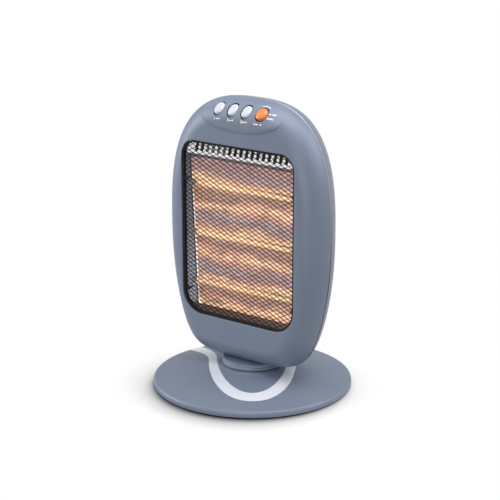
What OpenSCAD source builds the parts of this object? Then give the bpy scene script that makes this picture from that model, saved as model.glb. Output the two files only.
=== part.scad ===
// Three-lamp halogen heater: an upright head that swings on a round domed foot.
// Millimetres, +Z up, the head looks along -Y. The origin is the middle of the foot, on the floor.

/* [Foot] */
// Diameter of the round foot
base_d = 280; // [272:1:300]
// Height of the rim of the foot
rim_h = 10.5; // [10:0.5:12]
// Height of the boss in the middle of the foot
boss_h = 30; // [29:0.5:30.5]
// How far the foot is turned away from the head at rest
base_turn = 37; // [30:1:45]
// Diameter of the turntable collar between foot and head
collar_d = 86; // [80:1:88]

/* [Head] */
// Width of the head
head_w = 262; // [258:1:272]
// Height of the top of the head above the floor
head_top = 409; // [406:1:415]
// Depth of the head in front of its parting line
front_depth = 37.5; // [37.5:0.5:41]
// Depth of the head behind its parting line
back_depth = 50; // [49:1:60]
// Wall of the moulded shells
wall = 2.5; // [2.2:0.1:2.8]

/* [Window] */
// Width of the window
win_w = 191; // [189:1:192]
// Height of the window
win_h = 248; // [247:1:249]
// Width of the strands of the guard
strand = 1.6; // [1.2:0.1:2.2]

/* [Lamps] */
// Diameter of the quartz tubes
lamp_d = 10; // [8:0.5:11]
// Distance between two lamps
lamp_pitch = 70.7; // [68:0.1:72]

/* [Hidden] */
$fn = 64;
gap = 0.3;             // clearance between pieces that move past each other
fit = 0.05;            // clearance of pieces that stay together
floor_z = 2;           // height of the pads under the foot
plate_t = 2;           // floor plate of the foot
plate_top = floor_z + plate_t;
rim_round = 4.5;       // rounding of the rim
cone_r = base_d/2 - rim_round;
boss_r = 48;           // boss in the middle of the foot
slope = (boss_h - 0.5 - rim_h)/(cone_r - boss_r);
post_r = 12;           // swivel post
post_bore = 8;         // wires pass through it
post_top = 64.5;
flange_r = 30;
inlay_t = 1.2;         // thickness of the inlay band
pl_y = base_d/2 - 62;  // tip-over plunger, measured in the foot's own directions
pl_r = 5;
screw_ring = base_d/2 - 18;  // circle of the foot screws
screw_boss = 4;
pad_ring = base_d/2 - 22;    // circle of the rubber pads
pad_r = 8;
weight_r = base_d/2 - 30;    // balance weight, a ring
weight_hole = 40;
weight_t = 5;
band_tip = base_d/2 - 27;    // how far forward the inlay's arch reaches
band_front = 19;       // width of the band in front and at the sides
band_side = 11.5;
band_half = 62;        // half width of the arch
band_mid = 15;         // the arch is widest this far behind the middle
band_flare = 16.5;     // how far its legs have opened one arch width further back

collar_z = 31.4;       // turntable collar
collar_top = 39;
sleeve_top = 52.5;
pin_ring = 35;         // stop pin of the swing
swing = 74;            // swing of the head
stop_gap = 7.2;        // angle from the pin's centre to a rib's centre

hw = head_w/2;         // outline of the head
zc = 228;              // height of the widest place
bu = head_top - zc;    // upper half axis
bl = 245;              // lower half axis before the flat bottom
hf = 195.5;            // distance from the widest place to the flat bottom
nu = 2.85;             // fullness above and below
nl = 2.1;
mf = 14;               // sharpness of the bottom corners
head_bottom = zc - hf;
front_in = 30;         // how far the front face steps in from the parting line
back_side = 48;        // the same at the back, at the sides and at the ends
back_end = 27;
front_pow = 2;         // roundness of both edges
back_pow = 1.6;
rings = 7;             // bands of each rounded edge

win_z = 222;           // middle of the window
win_top = 22;          // its corners are rounder below than above
win_low = 33;
frame_y0 = -35.5;      // guard frame, a thin ring
frame_y1 = -30;
frame_t = 2.2;
net_y0 = -33.5;
net_t = 1;
net_rim = 2.4;
cols = 8;              // openings of the guard
rows = 16;

tray_front = -29;      // reflector
tray_back = -13;
tray_t = 0.8;
tray_in = 7.5;         // how far the tray's sides step in towards its back
tray_z0 = win_z - win_h/2 + 3;
tray_z1 = win_z + win_h/2 - 24;
tray_x = win_w/2 - 4;
strip_h = 29;          // slotted strip above the tray
slot_w = 4;
slot_pitch = 9.2;
slot_side = floor((tray_x - 13.8)/slot_pitch);
lamp_y = -20;
lamp_z = win_z - 10.6; // middle lamp
lamp_len = win_w - 8;
lamp_wall = 1;
cap_x = lamp_len/2 + 0.2;    // ceramic caps start here
cap_len = 6.6;
cap_r = lamp_d/2 + 1.5;
clip_t = 2;
shield_y = -7;         // back of the heat shield
shield_front = -22;
shield_x = win_w/2 + 4.5;
cutout_r = 9;          // thermal cut-out

ctl_x = 3;             // control panel, a lens shape on the rounded shoulder
ctl_y = -31.5;
ctl_z = head_top - 14.7;
ctl_tilt = 51;
lens_half = 67;        // its outline, a fuller curve than an ellipse
lens_low = 26.2;
lens_top = 17;
lens_pow = 2.6;
panel_lift = 1.5;      // the panel stands this far out of the shell
panel_t = 2;
white_x = [-32, -8.8, 14];
orange_x = 38.3;
rock_w = 12.6;         // white rocker caps
rock_l = 18.6;
orange_w = 17;         // the orange one is rounder
orange_l = 18;
rock_ax = -5.6;        // height of a rocker's pivot in the panel's directions
rock_top = 1.4;        // and of the middle of its cap
rock_tip = 10;         // a rocker tips this far to each side
rock_side = 0.6;       // clearance beside and at the ends of a cap
rock_end = 1.6;

gear_m = 2;            // swing drive
gear_big = 24;
gear_small = 10;
gear_z = 58;
gear_t = 6;
drive_x = -gear_m*(gear_big + gear_small)/2;
motor_z = 67.2;
motor_h = 20;
motor_r = 25;
plate_z = 48;          // swivel plate
swivel_t = 2.7;
swivel_w = 136;
swivel_d = 46;
shelf_x = 52;          // posts in the shells that carry it
shelf_y = 15;
bracket_t = 2;

grip_w = 96;           // carrying recess in the back
grip_h = 30;
grip_z = head_top - 70;
grip_depth = 26;
vent_w = 36;           // slots in the back
vent_h = 4;
vent_x = 46;
vent_z = 112;          // height of the lowest slots
vent_pitch = 14.5;
gland_x = -46;         // inlet of the mains cord
gland_z = 82;
term_x = 46;           // terminal block
term_y = 16;
term_w = 40;
term_d = 14;
term_top = 82;
wire_r = 1.8;

// colours
c_shell = [0.44, 0.48, 0.55];
c_light = [0.85, 0.86, 0.90];
c_black = [0.10, 0.10, 0.11];
c_steel = [0.70, 0.71, 0.73];
c_white = [0.93, 0.93, 0.92];

// ---------- shared shapes ----------

// rounded rectangle, flat
module rrect(w, h, r) {
  square([w - 2*r, h], center = true);
  square([w, h - 2*r], center = true);
  for (sx = [-1, 1], sy = [-1, 1])
    translate([sx*(w/2 - r), sy*(h/2 - r)]) circle(r);
}

// outline of the window, drawn in by g
module window(g) {
  w = win_w/2 - g;
  h = win_h/2 - g;
  translate([-w, win_low - g - h]) square([2*w, 2*h - win_low - win_top + 2*g]);
  for (part = [[1, win_top - g], [-1, win_low - g]]) {
    r = part[1];
    translate([0, part[0]*h/2]) square([2*(w - r), h], center = true);
    for (sx = [-1, 1]) translate([sx*(w - r), part[0]*(h - r)]) circle(r);
  }
}

// a flat shape drawn in x and z, made solid from y0 to y1
module upright(y0, y1) {
  translate([0, y1, 0]) rotate([90, 0, 0]) linear_extrude(y1 - y0) children();
}

// a ring standing on z0
module tube(z0, z1, ro, ri) {
  difference() {
    translate([0, 0, z0]) cylinder(r = ro, h = z1 - z0);
    translate([0, 0, z0 - 1]) cylinder(r = ri, h = z1 - z0 + 2);
  }
}

// a box given by its limits
module block(x0, x1, y0, y1, z0, z1) {
  translate([x0, y0, z0]) cube([x1 - x0, y1 - y0, z1 - z0]);
}

// a round rod from point to point
module rod(a, b, r) {
  d = b - a;
  len = norm(d);
  translate(a) rotate([0, acos(d[2]/len), atan2(d[1], d[0])]) cylinder(r = r, h = len);
}

// a gear with straight flanks
module gear(n, h, bore) {
  pr = gear_m*n/2;
  half = 1.05;
  root = 2.1;
  tip = 1.5;
  flank = 0.4;
  difference() {
    union() {
      cylinder(r = pr - root, h = h);
      linear_extrude(h) for (k = [0:n - 1]) rotate(360*k/n)
        polygon([[pr - root - 0.5, half + root*flank], [pr + tip, half - tip*flank],
          [pr + tip, -half + tip*flank], [pr - root - 0.5, -half - root*flank]]);
    }
    translate([0, 0, -1]) cylinder(r = bore, h = h + 2);
  }
}

// ---------- outline of the head ----------

function super(t, a, b, n) = pow(pow(abs(sin(t))/a, n) + pow(abs(cos(t))/b, n), -1/n);
function head_r(t, s, e) =
  cos(t) > 0 ? super(t, hw - s, bu - e, nu)
  : pow(pow(super(t, hw - s, bl - e, nl), -mf) + pow(-cos(t)/(hf - e), mf), -1/mf);
// directions from the top round to the bottom, closer together at the tight corner
half_turn = concat([for (k = [0:21]) k*140/22], [for (k = [0:2]) 140 + 5*k],
  [for (k = [0:11]) 155 + 17*k/12], [172, 176, 180]);
last = len(half_turn) - 1;
turn = concat(half_turn, [for (k = [1:last - 1]) 360 - half_turn[last - k]]);
function ring(y, s, e) =
  [for (t = turn) [head_r(t, s, e)*sin(t), y, zc + head_r(t, s, e)*cos(t)]];
// one band of the rounded edge: side -1 is the front, 1 the back, off is measured inwards
function edge_in(k, p) = 1 - pow(cos(90*k/rings), 2/p);
function edge_out(k, p) = pow(sin(90*k/rings), 2/p);
function band(side, k, off) = side < 0
  ? ring(-(front_depth - off)*edge_out(k, front_pow),
      off + front_in*edge_in(k, front_pow), off + front_in*edge_in(k, front_pow))
  : ring((back_depth - off)*edge_out(k, back_pow),
      off + back_side*edge_in(k, back_pow), off + back_end*edge_in(k, back_pow));

// closed skin through a list of rings
module skin(list, flip) {
  n = len(turn);
  m = len(list);
  pts = [for (r = list) for (p = r) p];
  sides = [for (j = [0:m - 2]) for (i = [0:n - 1]) for (h = [0, 1])
    let (a = j*n + i, b = j*n + (i + 1)%n, c = b + n, d = a + n)
    h == 0 ? [a, b, c] : [a, c, d]];
  ends = [[for (i = [0:n - 1]) n - 1 - i], [for (i = [0:n - 1]) (m - 1)*n + i]];
  all = concat(sides, ends);
  polyhedron(points = pts,
    faces = flip ? [for (f = all) [for (i = [len(f) - 1:-1:0]) f[i]]] : all);
}

// half of the head as a cup with an outer and an inner skin
module cup(side, outer, inner) {
  skin(concat([for (k = [rings:-1:0]) band(side, k, inner)],
    [for (k = [0:rings]) band(side, k, outer)]), side > 0);
}

// half of the head, solid
module half_head(side, off) {
  skin([for (k = [0:rings]) band(side, k, off)], side > 0);
}

// half width of the head at a height, for the screw bosses
function half_width(z) = z > zc ? hw*pow(1 - pow((z - zc)/bu, nu), 1/nu)
  : hw*pow(1 - pow((zc - z)/bl, nl), 1/nl);

// ---------- foot ----------

function cover_z(r) = rim_h + (cone_r - r)*slope;

// section of the foot's cover, down by off
module cover_section(off) {
  out = base_d/2 - off;
  polygon(concat([[0, floor_z], [out, floor_z]],
    [for (a = [0:15:90]) [cone_r + (out - cone_r)*cos(a),
      rim_h - rim_round + (rim_round - off)*sin(a)]],
    [[boss_r, boss_h - 0.5 - off], [boss_r - 0.5, boss_h - off], [0, boss_h - off]]));
}

// plan of the inlay band: an arch open to the rear whose legs flare out to the rim
function arch(a, b, cy, n, side, x) = [side*x, cy - b*pow(1 - pow(x/a, n), 1/n)];
function leg(a, mid, flare) = [for (k = [0:5])
  let (y = base_d/2 - 10 - k*(base_d/2 - 10 - 2*band_mid)/5)
  [a + flare*pow((y - mid)/60, 1.7), y]];
module inlay_plan(grow) {
  a = band_half + grow;
  ai = band_half - band_side - grow;
  mid_in = band_mid + 5;
  b = band_tip + band_mid + grow;
  bi = band_tip - band_front + mid_in - grow;
  out = [for (t = [90:-10:0]) arch(a, b, band_mid, 2.2, 1, a*sin(t))];
  inn = [for (t = [90:-10:0]) arch(ai, bi, mid_in, 2, 1, ai*sin(t))];
  leg_o = leg(a, band_mid, band_flare);
  leg_i = leg(ai, mid_in, 0.73*band_flare);
  right = concat(leg_o, out);
  inner = concat(leg_i, inn);
  n = len(right);
  difference() {
    polygon(concat(right, [for (i = [n - 2:-1:0]) [-right[i][0], right[i][1]]]));
    polygon(concat([[inner[0][0] + 0.01, base_d/2]], inner,
      [for (i = [len(inner) - 2:-1:0]) [-inner[i][0], inner[i][1]]],
      [[-inner[0][0] - 0.01, base_d/2]]));
  }
}

module base_cover() color(c_shell) rotate(base_turn) difference() {
  union() {
    difference() {
      rotate_extrude($fn = 128) cover_section(0);
      rotate_extrude($fn = 128) {
        cover_section(wall);
        square([base_d/2 - wall, floor_z + 1]);
      }
    }
    for (k = [0:4]) rotate(72*k + 18) translate([screw_ring, 0, 0])
      tube(plate_top + 0.1, cover_z(screw_ring) - 1, screw_boss, 1.3);
    rotate(-150 - base_turn) translate([pin_ring, 0, boss_h - 1]) cylinder(r = 2.5, h = 6);
  }
  translate([0, 0, boss_h - 10]) cylinder(r = post_r + 0.4, h = 20);
  intersection() {
    translate([0, 0, rim_h - 8]) linear_extrude(40) inlay_plan(0.25);
    difference() {
      translate([0, 0, 1]) rotate_extrude($fn = 128) cover_section(0);
      translate([0, 0, -inlay_t]) rotate_extrude($fn = 128) cover_section(0);
    }
  }
}

module base_inlay() color(c_light) rotate(base_turn) intersection() {
  translate([0, 0, rim_h - 8]) linear_extrude(40) inlay_plan(0);
  difference() {
    rotate_extrude($fn = 128) cover_section(0);
    translate([0, 0, fit - inlay_t]) rotate_extrude($fn = 128) cover_section(0);
  }
}

module base_plate() color(c_black) rotate(base_turn) difference() {
  translate([0, 0, floor_z]) cylinder(r = base_d/2 - wall - gap, h = plate_t);
  translate([0, pl_y, 0]) cylinder(r = pl_r + gap, h = 10);
  for (k = [0:4]) rotate(72*k + 18) translate([screw_ring, 0, 0]) {
    cylinder(r = 1.9, h = 10);
    cylinder(r = screw_boss, h = floor_z + 1.2);
  }
}

module base_feet() color(c_black) rotate(base_turn)
  for (k = [0:4]) rotate(72*k + 54) translate([pad_ring, 0, 0]) cylinder(r = pad_r, h = floor_z);

module base_screws() color(c_steel) rotate(base_turn)
  for (k = [0:4]) rotate(72*k + 18) translate([screw_ring, 0, 0]) {
    translate([0, 0, floor_z]) cylinder(r = 3.5, h = 1.2);
    translate([0, 0, floor_z + 1]) cylinder(r = 1.25, h = 7);
  }

module base_weight() color([0.3, 0.3, 0.32]) rotate(base_turn) difference() {
  tube(plate_top, plate_top + weight_t, weight_r, weight_hole);
  block(-17, 17, pl_y - 12, pl_y + 12, 0, 20);
}

module swivel_post() color(c_steel) {
  tube(plate_top, post_top, post_r, post_bore);
  tube(plate_top, plate_top + 3, flange_r, post_r - 0.5);
}

module thrust_washer() color(c_white) tube(boss_h, collar_top - 3.2, 28, 18);

module post_ring() color(c_steel) tube(sleeve_top + 0.4, sleeve_top + 3.4, 19, post_r + fit);

module drive_gear() color(c_white)
  translate([0, 0, gear_z]) gear(gear_big, gear_t, post_r + fit);

module tipover_switch() color(c_black) rotate(base_turn) translate([0, pl_y, 0]) difference() {
  block(-15, 15, -10, 10, plate_top, 17.5);
  cylinder(r = pl_r + gap, h = 10);
  translate([0, 0, 6]) cylinder(r = 7.5, h = 10.4);
}

module tipover_plunger() color(c_white) rotate(base_turn) translate([0, pl_y, 0]) {
  cylinder(r = pl_r, h = 11);
  translate([0, 0, 10.2]) cylinder(r = 7, h = 1.4);
}

module tipover_spring() color(c_steel) rotate(base_turn) translate([0, pl_y, 11.7]) {
  for (k = [0:3]) translate([0, 0, 0.5 + 1.2*k]) rotate_extrude() translate([4.4, 0]) circle(0.45);
  block(4.2, 4.6, -0.4, 0.4, 0.3, 4.3);
}

// ---------- turntable ----------

module turntable_collar() color(c_shell) {
  tube(collar_z, collar_top, collar_d/2, collar_d/2 - 3);
  tube(collar_top - 3, collar_top, collar_d/2 - 1, post_r + gap);
  tube(collar_z, sleeve_top, 16, post_r + gap);
  for (a = [-150 + stop_gap, -150 - swing - stop_gap]) rotate(a)
    block(29, collar_d/2 - 2, -1.5, 1.5, collar_z, collar_top - 1);
}

module swivel_plate() color(c_steel) difference() {
  translate([0, 0, plate_z]) linear_extrude(swivel_t) rrect(swivel_w, swivel_d, 12);
  cylinder(r = 16 + gap, h = 100);
}

// ---------- shells ----------

module in_panel(x) {
  translate([x, ctl_y, ctl_z]) rotate([ctl_tilt, 0, 0]) children();
}

function curved(v) = sign(v)*pow(abs(v), 2/lens_pow);
module lens(grow) {
  in_panel(ctl_x) translate([0, 0, -22]) linear_extrude(60)
    polygon([for (t = [0:9:351]) [(lens_half + grow)*curved(cos(t)),
      ((t > 180 ? lens_low : lens_top) + grow)*curved(sin(t))]]);
}

boss_at = [[300, 1], [300, -1], [130, 1], [130, -1]];
boss_r1 = 4.5;
function boss_x(z) = half_width(z) - 11;
module at_bosses() {
  for (b = boss_at) translate([b[1]*boss_x(b[0]), 0, b[0]]) mirror([b[1] < 0 ? 1 : 0, 0, 0])
    children();
}

// two short posts under the swivel plate
module shelf(side) {
  for (sx = [-1, 1]) translate([sx*shelf_x, side*shelf_y, 0])
    block(-3.5, 3.5, -3, 3, head_bottom + 4, plate_z - 0.1);
}

module front_shell() color(c_shell) {
  difference() {
    cup(-1, 0, wall);
    translate([0, 0, win_z]) upright(-60, -20) window(0);
    lens(gap);
    translate([0, 0, 20]) cylinder(r = collar_d/2 + 2.8, h = 20.5);
  }
  at_bosses() difference() {
    union() {
      upright(-14, -0.3) circle(boss_r1);
      block(3, 8.8, -13, -0.3, -2, 2);
    }
    upright(-13, 1) circle(1.3);
  }
  shelf(-1);
}

module back_shell() color(c_shell) {
  difference() {
    cup(1, 0, wall);
    translate([0, 0, 20]) cylinder(r = collar_d/2 + 2.8, h = 20.5);
    translate([0, 0, grip_z]) upright(30, 60) rrect(grip_w - 4, grip_h - 4, 8);
    for (k = [0:12], c = [-1:1]) translate([vent_x*c, 0, vent_z + vent_pitch*k])
      upright(40, 60) rrect(vent_w, vent_h, vent_h/2 - 0.1);
    translate([gland_x, 40, gland_z]) rotate([-90, 0, 0]) cylinder(r = 7.3, h = 20);
    at_bosses() upright(3, 60) circle(boss_r1 - 1);
  }
  intersection() {
    at_bosses() difference() {
      union() {
        upright(0.1, 40) circle(boss_r1 + 1);
        block(3, 8, 0.1, 10, -2, 2);
      }
      upright(3, 60) circle(boss_r1 - 1);
      upright(-1, 60) circle(1.9);
    }
    half_head(1, 0.6);
  }
  shelf(1);
}

module shell_screws() color(c_steel) at_bosses() {
  upright(-12, 3.2) circle(1.25);
  upright(3.1, 6) circle(3.1);
}

// ---------- guard ----------

module guard_frame() color(c_black) translate([0, 0, win_z])
  upright(frame_y0, frame_y1) difference() {
    window(gap);
    window(gap + frame_t);
  }

module guard_net() color(c_black) translate([0, 0, win_z]) {
  edge = gap + frame_t + 2*fit;
  w = win_w - 2*edge - net_rim;
  h = win_h - 2*edge - net_rim;
  cw = w/cols;
  ch = h/rows;
  upright(net_y0, net_y0 + net_t) difference() {
    window(edge);
    intersection() {
      window(edge + net_rim);
      for (j = [0:2*rows - 2]) for (i = [0:cols - 1 - j%2])
        translate([(i + 0.5 + (j%2)/2)*cw - w/2, (j + 1)*ch/2 - h/2])
          polygon([[cw/2 - strand, 0], [0, ch/2 - strand/1.4],
            [strand - cw/2, 0], [0, strand/1.4 - ch/2]]);
    }
  }
}

// screws just inside the frame, above and below
guard_at = [[win_z + 68, 5.2], [win_z - 90, 6.4]];
module at_guard_screws() {
  for (g = guard_at, s = [-1, 1]) translate([s*(win_w/2 - g[1]), 0, g[0]]) children();
}
module guard_screws() color(c_black) at_guard_screws() {
  upright(-32.3, -30.6) circle(2.3);
  upright(-30.7, -26) circle(0.9);
}

// ---------- reflector and lamps ----------

// a box whose front and back differ; grown outwards by g
module tray_box(g, back, front) {
  xb = tray_x - tray_in + g;
  xf = tray_x + g;
  polyhedron(
    points = [[-xb, back, tray_z0 + 4 - g], [xb, back, tray_z0 + 4 - g],
      [xb, back, tray_z1 - 14 + g], [-xb, back, tray_z1 - 14 + g],
      [-xf, front, tray_z0 - g], [xf, front, tray_z0 - g],
      [xf, front, tray_z1 + g], [-xf, front, tray_z1 + g]],
    faces = [[0, 1, 2, 3], [7, 6, 5, 4], [4, 5, 1, 0], [5, 6, 2, 1], [6, 7, 3, 2], [7, 4, 0, 3]]);
}

lamp_zs = [lamp_z + lamp_pitch, lamp_z, lamp_z - lamp_pitch];

module reflector() color(c_steel) {
  difference() {
    union() {
      tray_box(tray_t, tray_back + tray_t, tray_front);
      upright(tray_front, tray_front + tray_t)
        translate([0, (tray_z0 + tray_z1)/2]) rrect(2*tray_x + 2, tray_z1 - tray_z0 + 3, 3);
    }
    tray_box(0, tray_back, tray_front - 0.01);
    upright(tray_front - 1, tray_front + 2)
      translate([0, (tray_z0 + tray_z1)/2]) square([2*tray_x, tray_z1 - tray_z0], center = true);
    for (z = lamp_zs) translate([0, lamp_y, z]) rotate([0, 90, 0])
      cylinder(r = lamp_d/2 + 0.5, h = win_w + 50, center = true);
    at_guard_screws() upright(-40, -25.5) circle(1.1);
  }
  // slotted strip above the tray, leaning back
  translate([0, tray_front, tray_z1 + 1.2]) rotate([-18, 0, 0]) difference() {
    block(-tray_x, tray_x, 0, tray_t, -0.6, strip_h);
    for (k = [-slot_side:slot_side]) translate([slot_pitch*k, 0, 0])
      block(-slot_w/2, slot_w/2, -1, 2, 3, strip_h - 3);
  }
}

module lamp(z) color([0.9, 0.88, 0.8], 0.5) translate([0, lamp_y, z]) rotate([0, 90, 0])
  tube(-lamp_len/2, lamp_len/2, lamp_d/2, lamp_d/2 - lamp_wall);
module coil(z) color([1, 0.6, 0.2]) translate([0, lamp_y, z]) rotate([0, 90, 0]) {
  translate([0, 0, -lamp_len/2]) cylinder(r = 1.2, h = lamp_len);
  for (k = [-4:4]) translate([0, 0, 19*k - 0.5]) cylinder(r = 2.6, h = 1);
}
module lamp_top() lamp(lamp_zs[0]);
module lamp_middle() lamp(lamp_zs[1]);
module lamp_bottom() lamp(lamp_zs[2]);
module coil_top() coil(lamp_zs[0]);
module coil_middle() coil(lamp_zs[1]);
module coil_bottom() coil(lamp_zs[2]);

module lamp_caps() color(c_white) for (z = lamp_zs, s = [-1, 1])
  translate([s*(cap_x + cap_len/2), lamp_y, z])
    rotate([0, 90, 0]) cylinder(r = cap_r, h = cap_len, center = true);

module lamp_clips() color(c_steel) for (z = lamp_zs, s = [-1, 1])
  translate([s*(cap_x + cap_len/2), lamp_y, z]) difference() {
    block(-clip_t/2, clip_t/2, -cap_r - 1.5, shield_y - lamp_y - 0.1, -cap_r - 1.5, cap_r + 1.5);
    rotate([0, 90, 0]) cylinder(r = cap_r + fit, h = 10, center = true);
  }

module shield(off, y0, y1) {
  block(off - shield_x, shield_x - off, y0, y1, tray_z0 - 5 + off, tray_z1 + 8 - off);
}
module heat_shield() color(c_steel) difference() {
  shield(0, shield_front, shield_y + tray_t);
  shield(tray_t, shield_front - 1, shield_y);
}

module thermal_cutout() color(c_white)
  translate([30, 0, tray_z1 - 22]) upright(shield_y + tray_t, 6) {
    circle(cutout_r);
    square([6, 2*cutout_r + 6], center = true);
  }

// ---------- controls ----------

module control_panel() color(c_shell) difference() {
  intersection() {
    cup(-1, -panel_lift, panel_t - panel_lift);
    lens(0);
  }
  for (x = white_x) rocker_hole(x, rock_w, rock_l);
  rocker_hole(orange_x, orange_w, orange_l);
  in_panel(orange_x)
    block(-orange_w/2 - 2.4, orange_w/2 + 2.4, -3, 3, -28, rock_ax + 1.6);
}
module rocker_hole(x, w, l) in_panel(x) translate([0, 0, -20]) linear_extrude(40)
  rrect(w + 2*rock_side, l + 2*rock_end, w/2 + rock_side - 0.3);

module rocker(x, w, l) in_panel(x) translate([0, 0, rock_ax]) rotate([-rock_tip, 0, 0])
  difference() {
    translate([0, 0, -2]) linear_extrude(rock_top - rock_ax + 2) rrect(w, l, w/2 - 0.3);
    rotate([0, 90, 0]) cylinder(r = 1, h = 2*w, center = true);
  }
module rocker_low() color(c_white) rocker(white_x[0], rock_w, rock_l);
module rocker_medium() color(c_white) rocker(white_x[1], rock_w, rock_l);
module rocker_high() color(c_white) rocker(white_x[2], rock_w, rock_l);
module rocker_swing() color([0.95, 0.45, 0.1]) rocker(orange_x, orange_w, orange_l);

// four switches on one carrier, each with a pin its rocker turns on
module one_switch(x, w) in_panel(x) {
  cheek = w/2 + 1.2;
  block(0.6 - cheek, cheek - 0.6, -8, 8, -28, rock_ax - 4);
  for (s = [-1, 1]) block(s*cheek - 0.6, s*cheek + 0.6, -2.4, 2.4, -28, rock_ax + 1.2);
  translate([0, 0, rock_ax]) rotate([0, 90, 0])
    cylinder(r = 0.7, h = 2*cheek + 0.2, center = true);
}
module switch_bank() color(c_black) {
  for (x = white_x) one_switch(x, rock_w);
  one_switch(orange_x, orange_w);
  in_panel(0) block(white_x[0] - rock_w/2 - 2, orange_x + orange_w/2 + 2, -4, 4, -26, -14);
}

// ---------- swing drive ----------

module swing_motor() color(c_steel) translate([drive_x, 0, motor_z]) tube(0, motor_h, motor_r, 3.1);

leg_x = drive_x - motor_r - 7;
leg_y = swivel_d/2 - 1;
module motor_bracket() color(c_steel) difference() {
  union() {
    block(leg_x, drive_x + motor_r + 2, -20, leg_y, motor_z - bracket_t - 0.1, motor_z - 0.1);
    block(leg_x, leg_x + bracket_t, -12, 12, plate_z + swivel_t + 0.1, motor_z - 1);
    block(drive_x - 10, drive_x + 12, leg_y - bracket_t, leg_y,
      plate_z + swivel_t + 0.1, motor_z - 1);
  }
  translate([drive_x, 0, 0]) cylinder(r = 8, h = 100);
  cylinder(r = post_r + 1, h = 100);
}

module drive_pinion() color(c_white) translate([drive_x, 0, gear_z]) {
  rotate(18) gear(gear_small, gear_t, 2.5);
  translate([0, 0, -1]) cylinder(r = 3, h = 17);
}

// ---------- wiring ----------

module terminal_block() color(c_white) {
  difference() {
    translate([term_x, term_y, 0])
      block(-term_w/2, term_w/2, -term_d/2, term_d/2, plate_z + swivel_t, term_top);
    for (k = [-1.5:1.5]) translate([term_x + k*term_w/4, term_y, term_top - 6])
      cylinder(r = 2.5, h = 10);
  }
}

module inlet_gland() color(c_black) translate([gland_x, 0, gland_z]) rotate([-90, 0, 0]) {
  tube(back_depth, back_depth + 3, 10, 3.5);
  tube(back_depth - 6, back_depth + 1, 7, 3.5);
  tube(back_depth - 6.5, back_depth - 3, 10, 6.5);
}

module wiring() color([0.8, 0.2, 0.15]) {
  in_x = term_x - 15;
  up_x = term_x + 5;
  path = [[0, 0, 40], [0, 0, 72], [24, term_y, term_top + 6], [in_x, term_y, term_top + 2]];
  riser = [[up_x, term_y, term_top], [up_x, 10, term_top + 28], [up_x, 10, tray_z1 + 8],
    [45, 4, head_top - 43]];
  for (w = [path, riser]) {
    for (i = [0:len(w) - 2]) rod(w[i], w[i + 1], wire_r);
    for (p = w) translate(p) sphere(r = wire_r + 0.5);
  }
}

module grip_cup() color(c_black) translate([0, 0, grip_z]) difference() {
  upright(back_depth - grip_depth, back_depth - wall - 0.1) rrect(grip_w, grip_h, 10);
  upright(back_depth - grip_depth + 2, back_depth + 5) rrect(grip_w - 4, grip_h - 4, 8);
}

// ---------- pieces ----------

base_cover();
base_plate();
base_weight();
base_inlay();
base_feet();
base_screws();
swivel_post();
thrust_washer();
post_ring();
drive_gear();
tipover_switch();
tipover_plunger();
tipover_spring();
turntable_collar();
swivel_plate();
front_shell();
back_shell();
shell_screws();
guard_frame();
guard_net();
guard_screws();
reflector();
lamp_top();
lamp_middle();
lamp_bottom();
coil_top();
coil_middle();
coil_bottom();
lamp_caps();
lamp_clips();
heat_shield();
thermal_cutout();
control_panel();
switch_bank();
rocker_low();
rocker_medium();
rocker_high();
rocker_swing();
swing_motor();
motor_bracket();
drive_pinion();
terminal_block();
inlet_gland();
wiring();
grip_cup();
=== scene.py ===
# %% [markdown]
# # A halogen heater, dressed over its engineering model
# The heater is already built as exact solids: a domed foot, a head that swings on a collar, a
# guard over three quartz lamps, and four rocker switches. This script keeps every solid in its
# place and gives it the surface that the real thing shows: satin moulded plastic, black
# enamelled mesh, bright reflector sheet and glowing lamps.

# %% Load the fixed frame
import bpy, bmesh, math
from mathutils import Matrix, Vector


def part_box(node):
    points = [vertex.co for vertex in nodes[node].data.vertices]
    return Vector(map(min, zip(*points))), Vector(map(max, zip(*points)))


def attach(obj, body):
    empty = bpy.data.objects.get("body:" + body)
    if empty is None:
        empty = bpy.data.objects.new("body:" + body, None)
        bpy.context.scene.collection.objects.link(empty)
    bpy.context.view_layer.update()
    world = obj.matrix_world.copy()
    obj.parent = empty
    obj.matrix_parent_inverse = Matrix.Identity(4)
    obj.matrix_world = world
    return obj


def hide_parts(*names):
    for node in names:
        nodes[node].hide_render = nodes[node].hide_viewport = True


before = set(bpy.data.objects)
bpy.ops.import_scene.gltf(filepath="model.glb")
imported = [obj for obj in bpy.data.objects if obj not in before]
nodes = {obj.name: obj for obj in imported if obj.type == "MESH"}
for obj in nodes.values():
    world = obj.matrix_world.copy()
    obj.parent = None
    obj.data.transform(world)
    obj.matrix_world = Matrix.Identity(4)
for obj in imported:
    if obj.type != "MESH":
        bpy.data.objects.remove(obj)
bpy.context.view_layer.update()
MM = 0.001

# %% [markdown]
# ## The camera
# The photograph looks down a little on the heater from its right front. Its place was worked
# out from the rims of the foot and the outline of the window, so the camera comes first and
# nothing later moves it. A long lens keeps the perspective as flat as in the photograph.

# %% Camera
CAMERA_AT = (1.1848, -1.5723, 0.7695)
LOOKS_DOWN = math.radians(16.29)
HEADING = math.radians(37.10)

def make_camera():
    cam = bpy.data.objects.new("camera", bpy.data.cameras.new("camera"))
    bpy.context.collection.objects.link(cam)
    cam.location = CAMERA_AT
    cam.rotation_euler = (math.pi / 2 - LOOKS_DOWN, 0, HEADING)
    cam.data.lens = 106.6
    cam.data.sensor_width = 36
    bpy.context.scene.camera = cam
    return cam

camera = make_camera()
print("camera at", [round(v, 3) for v in camera.location])
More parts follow.
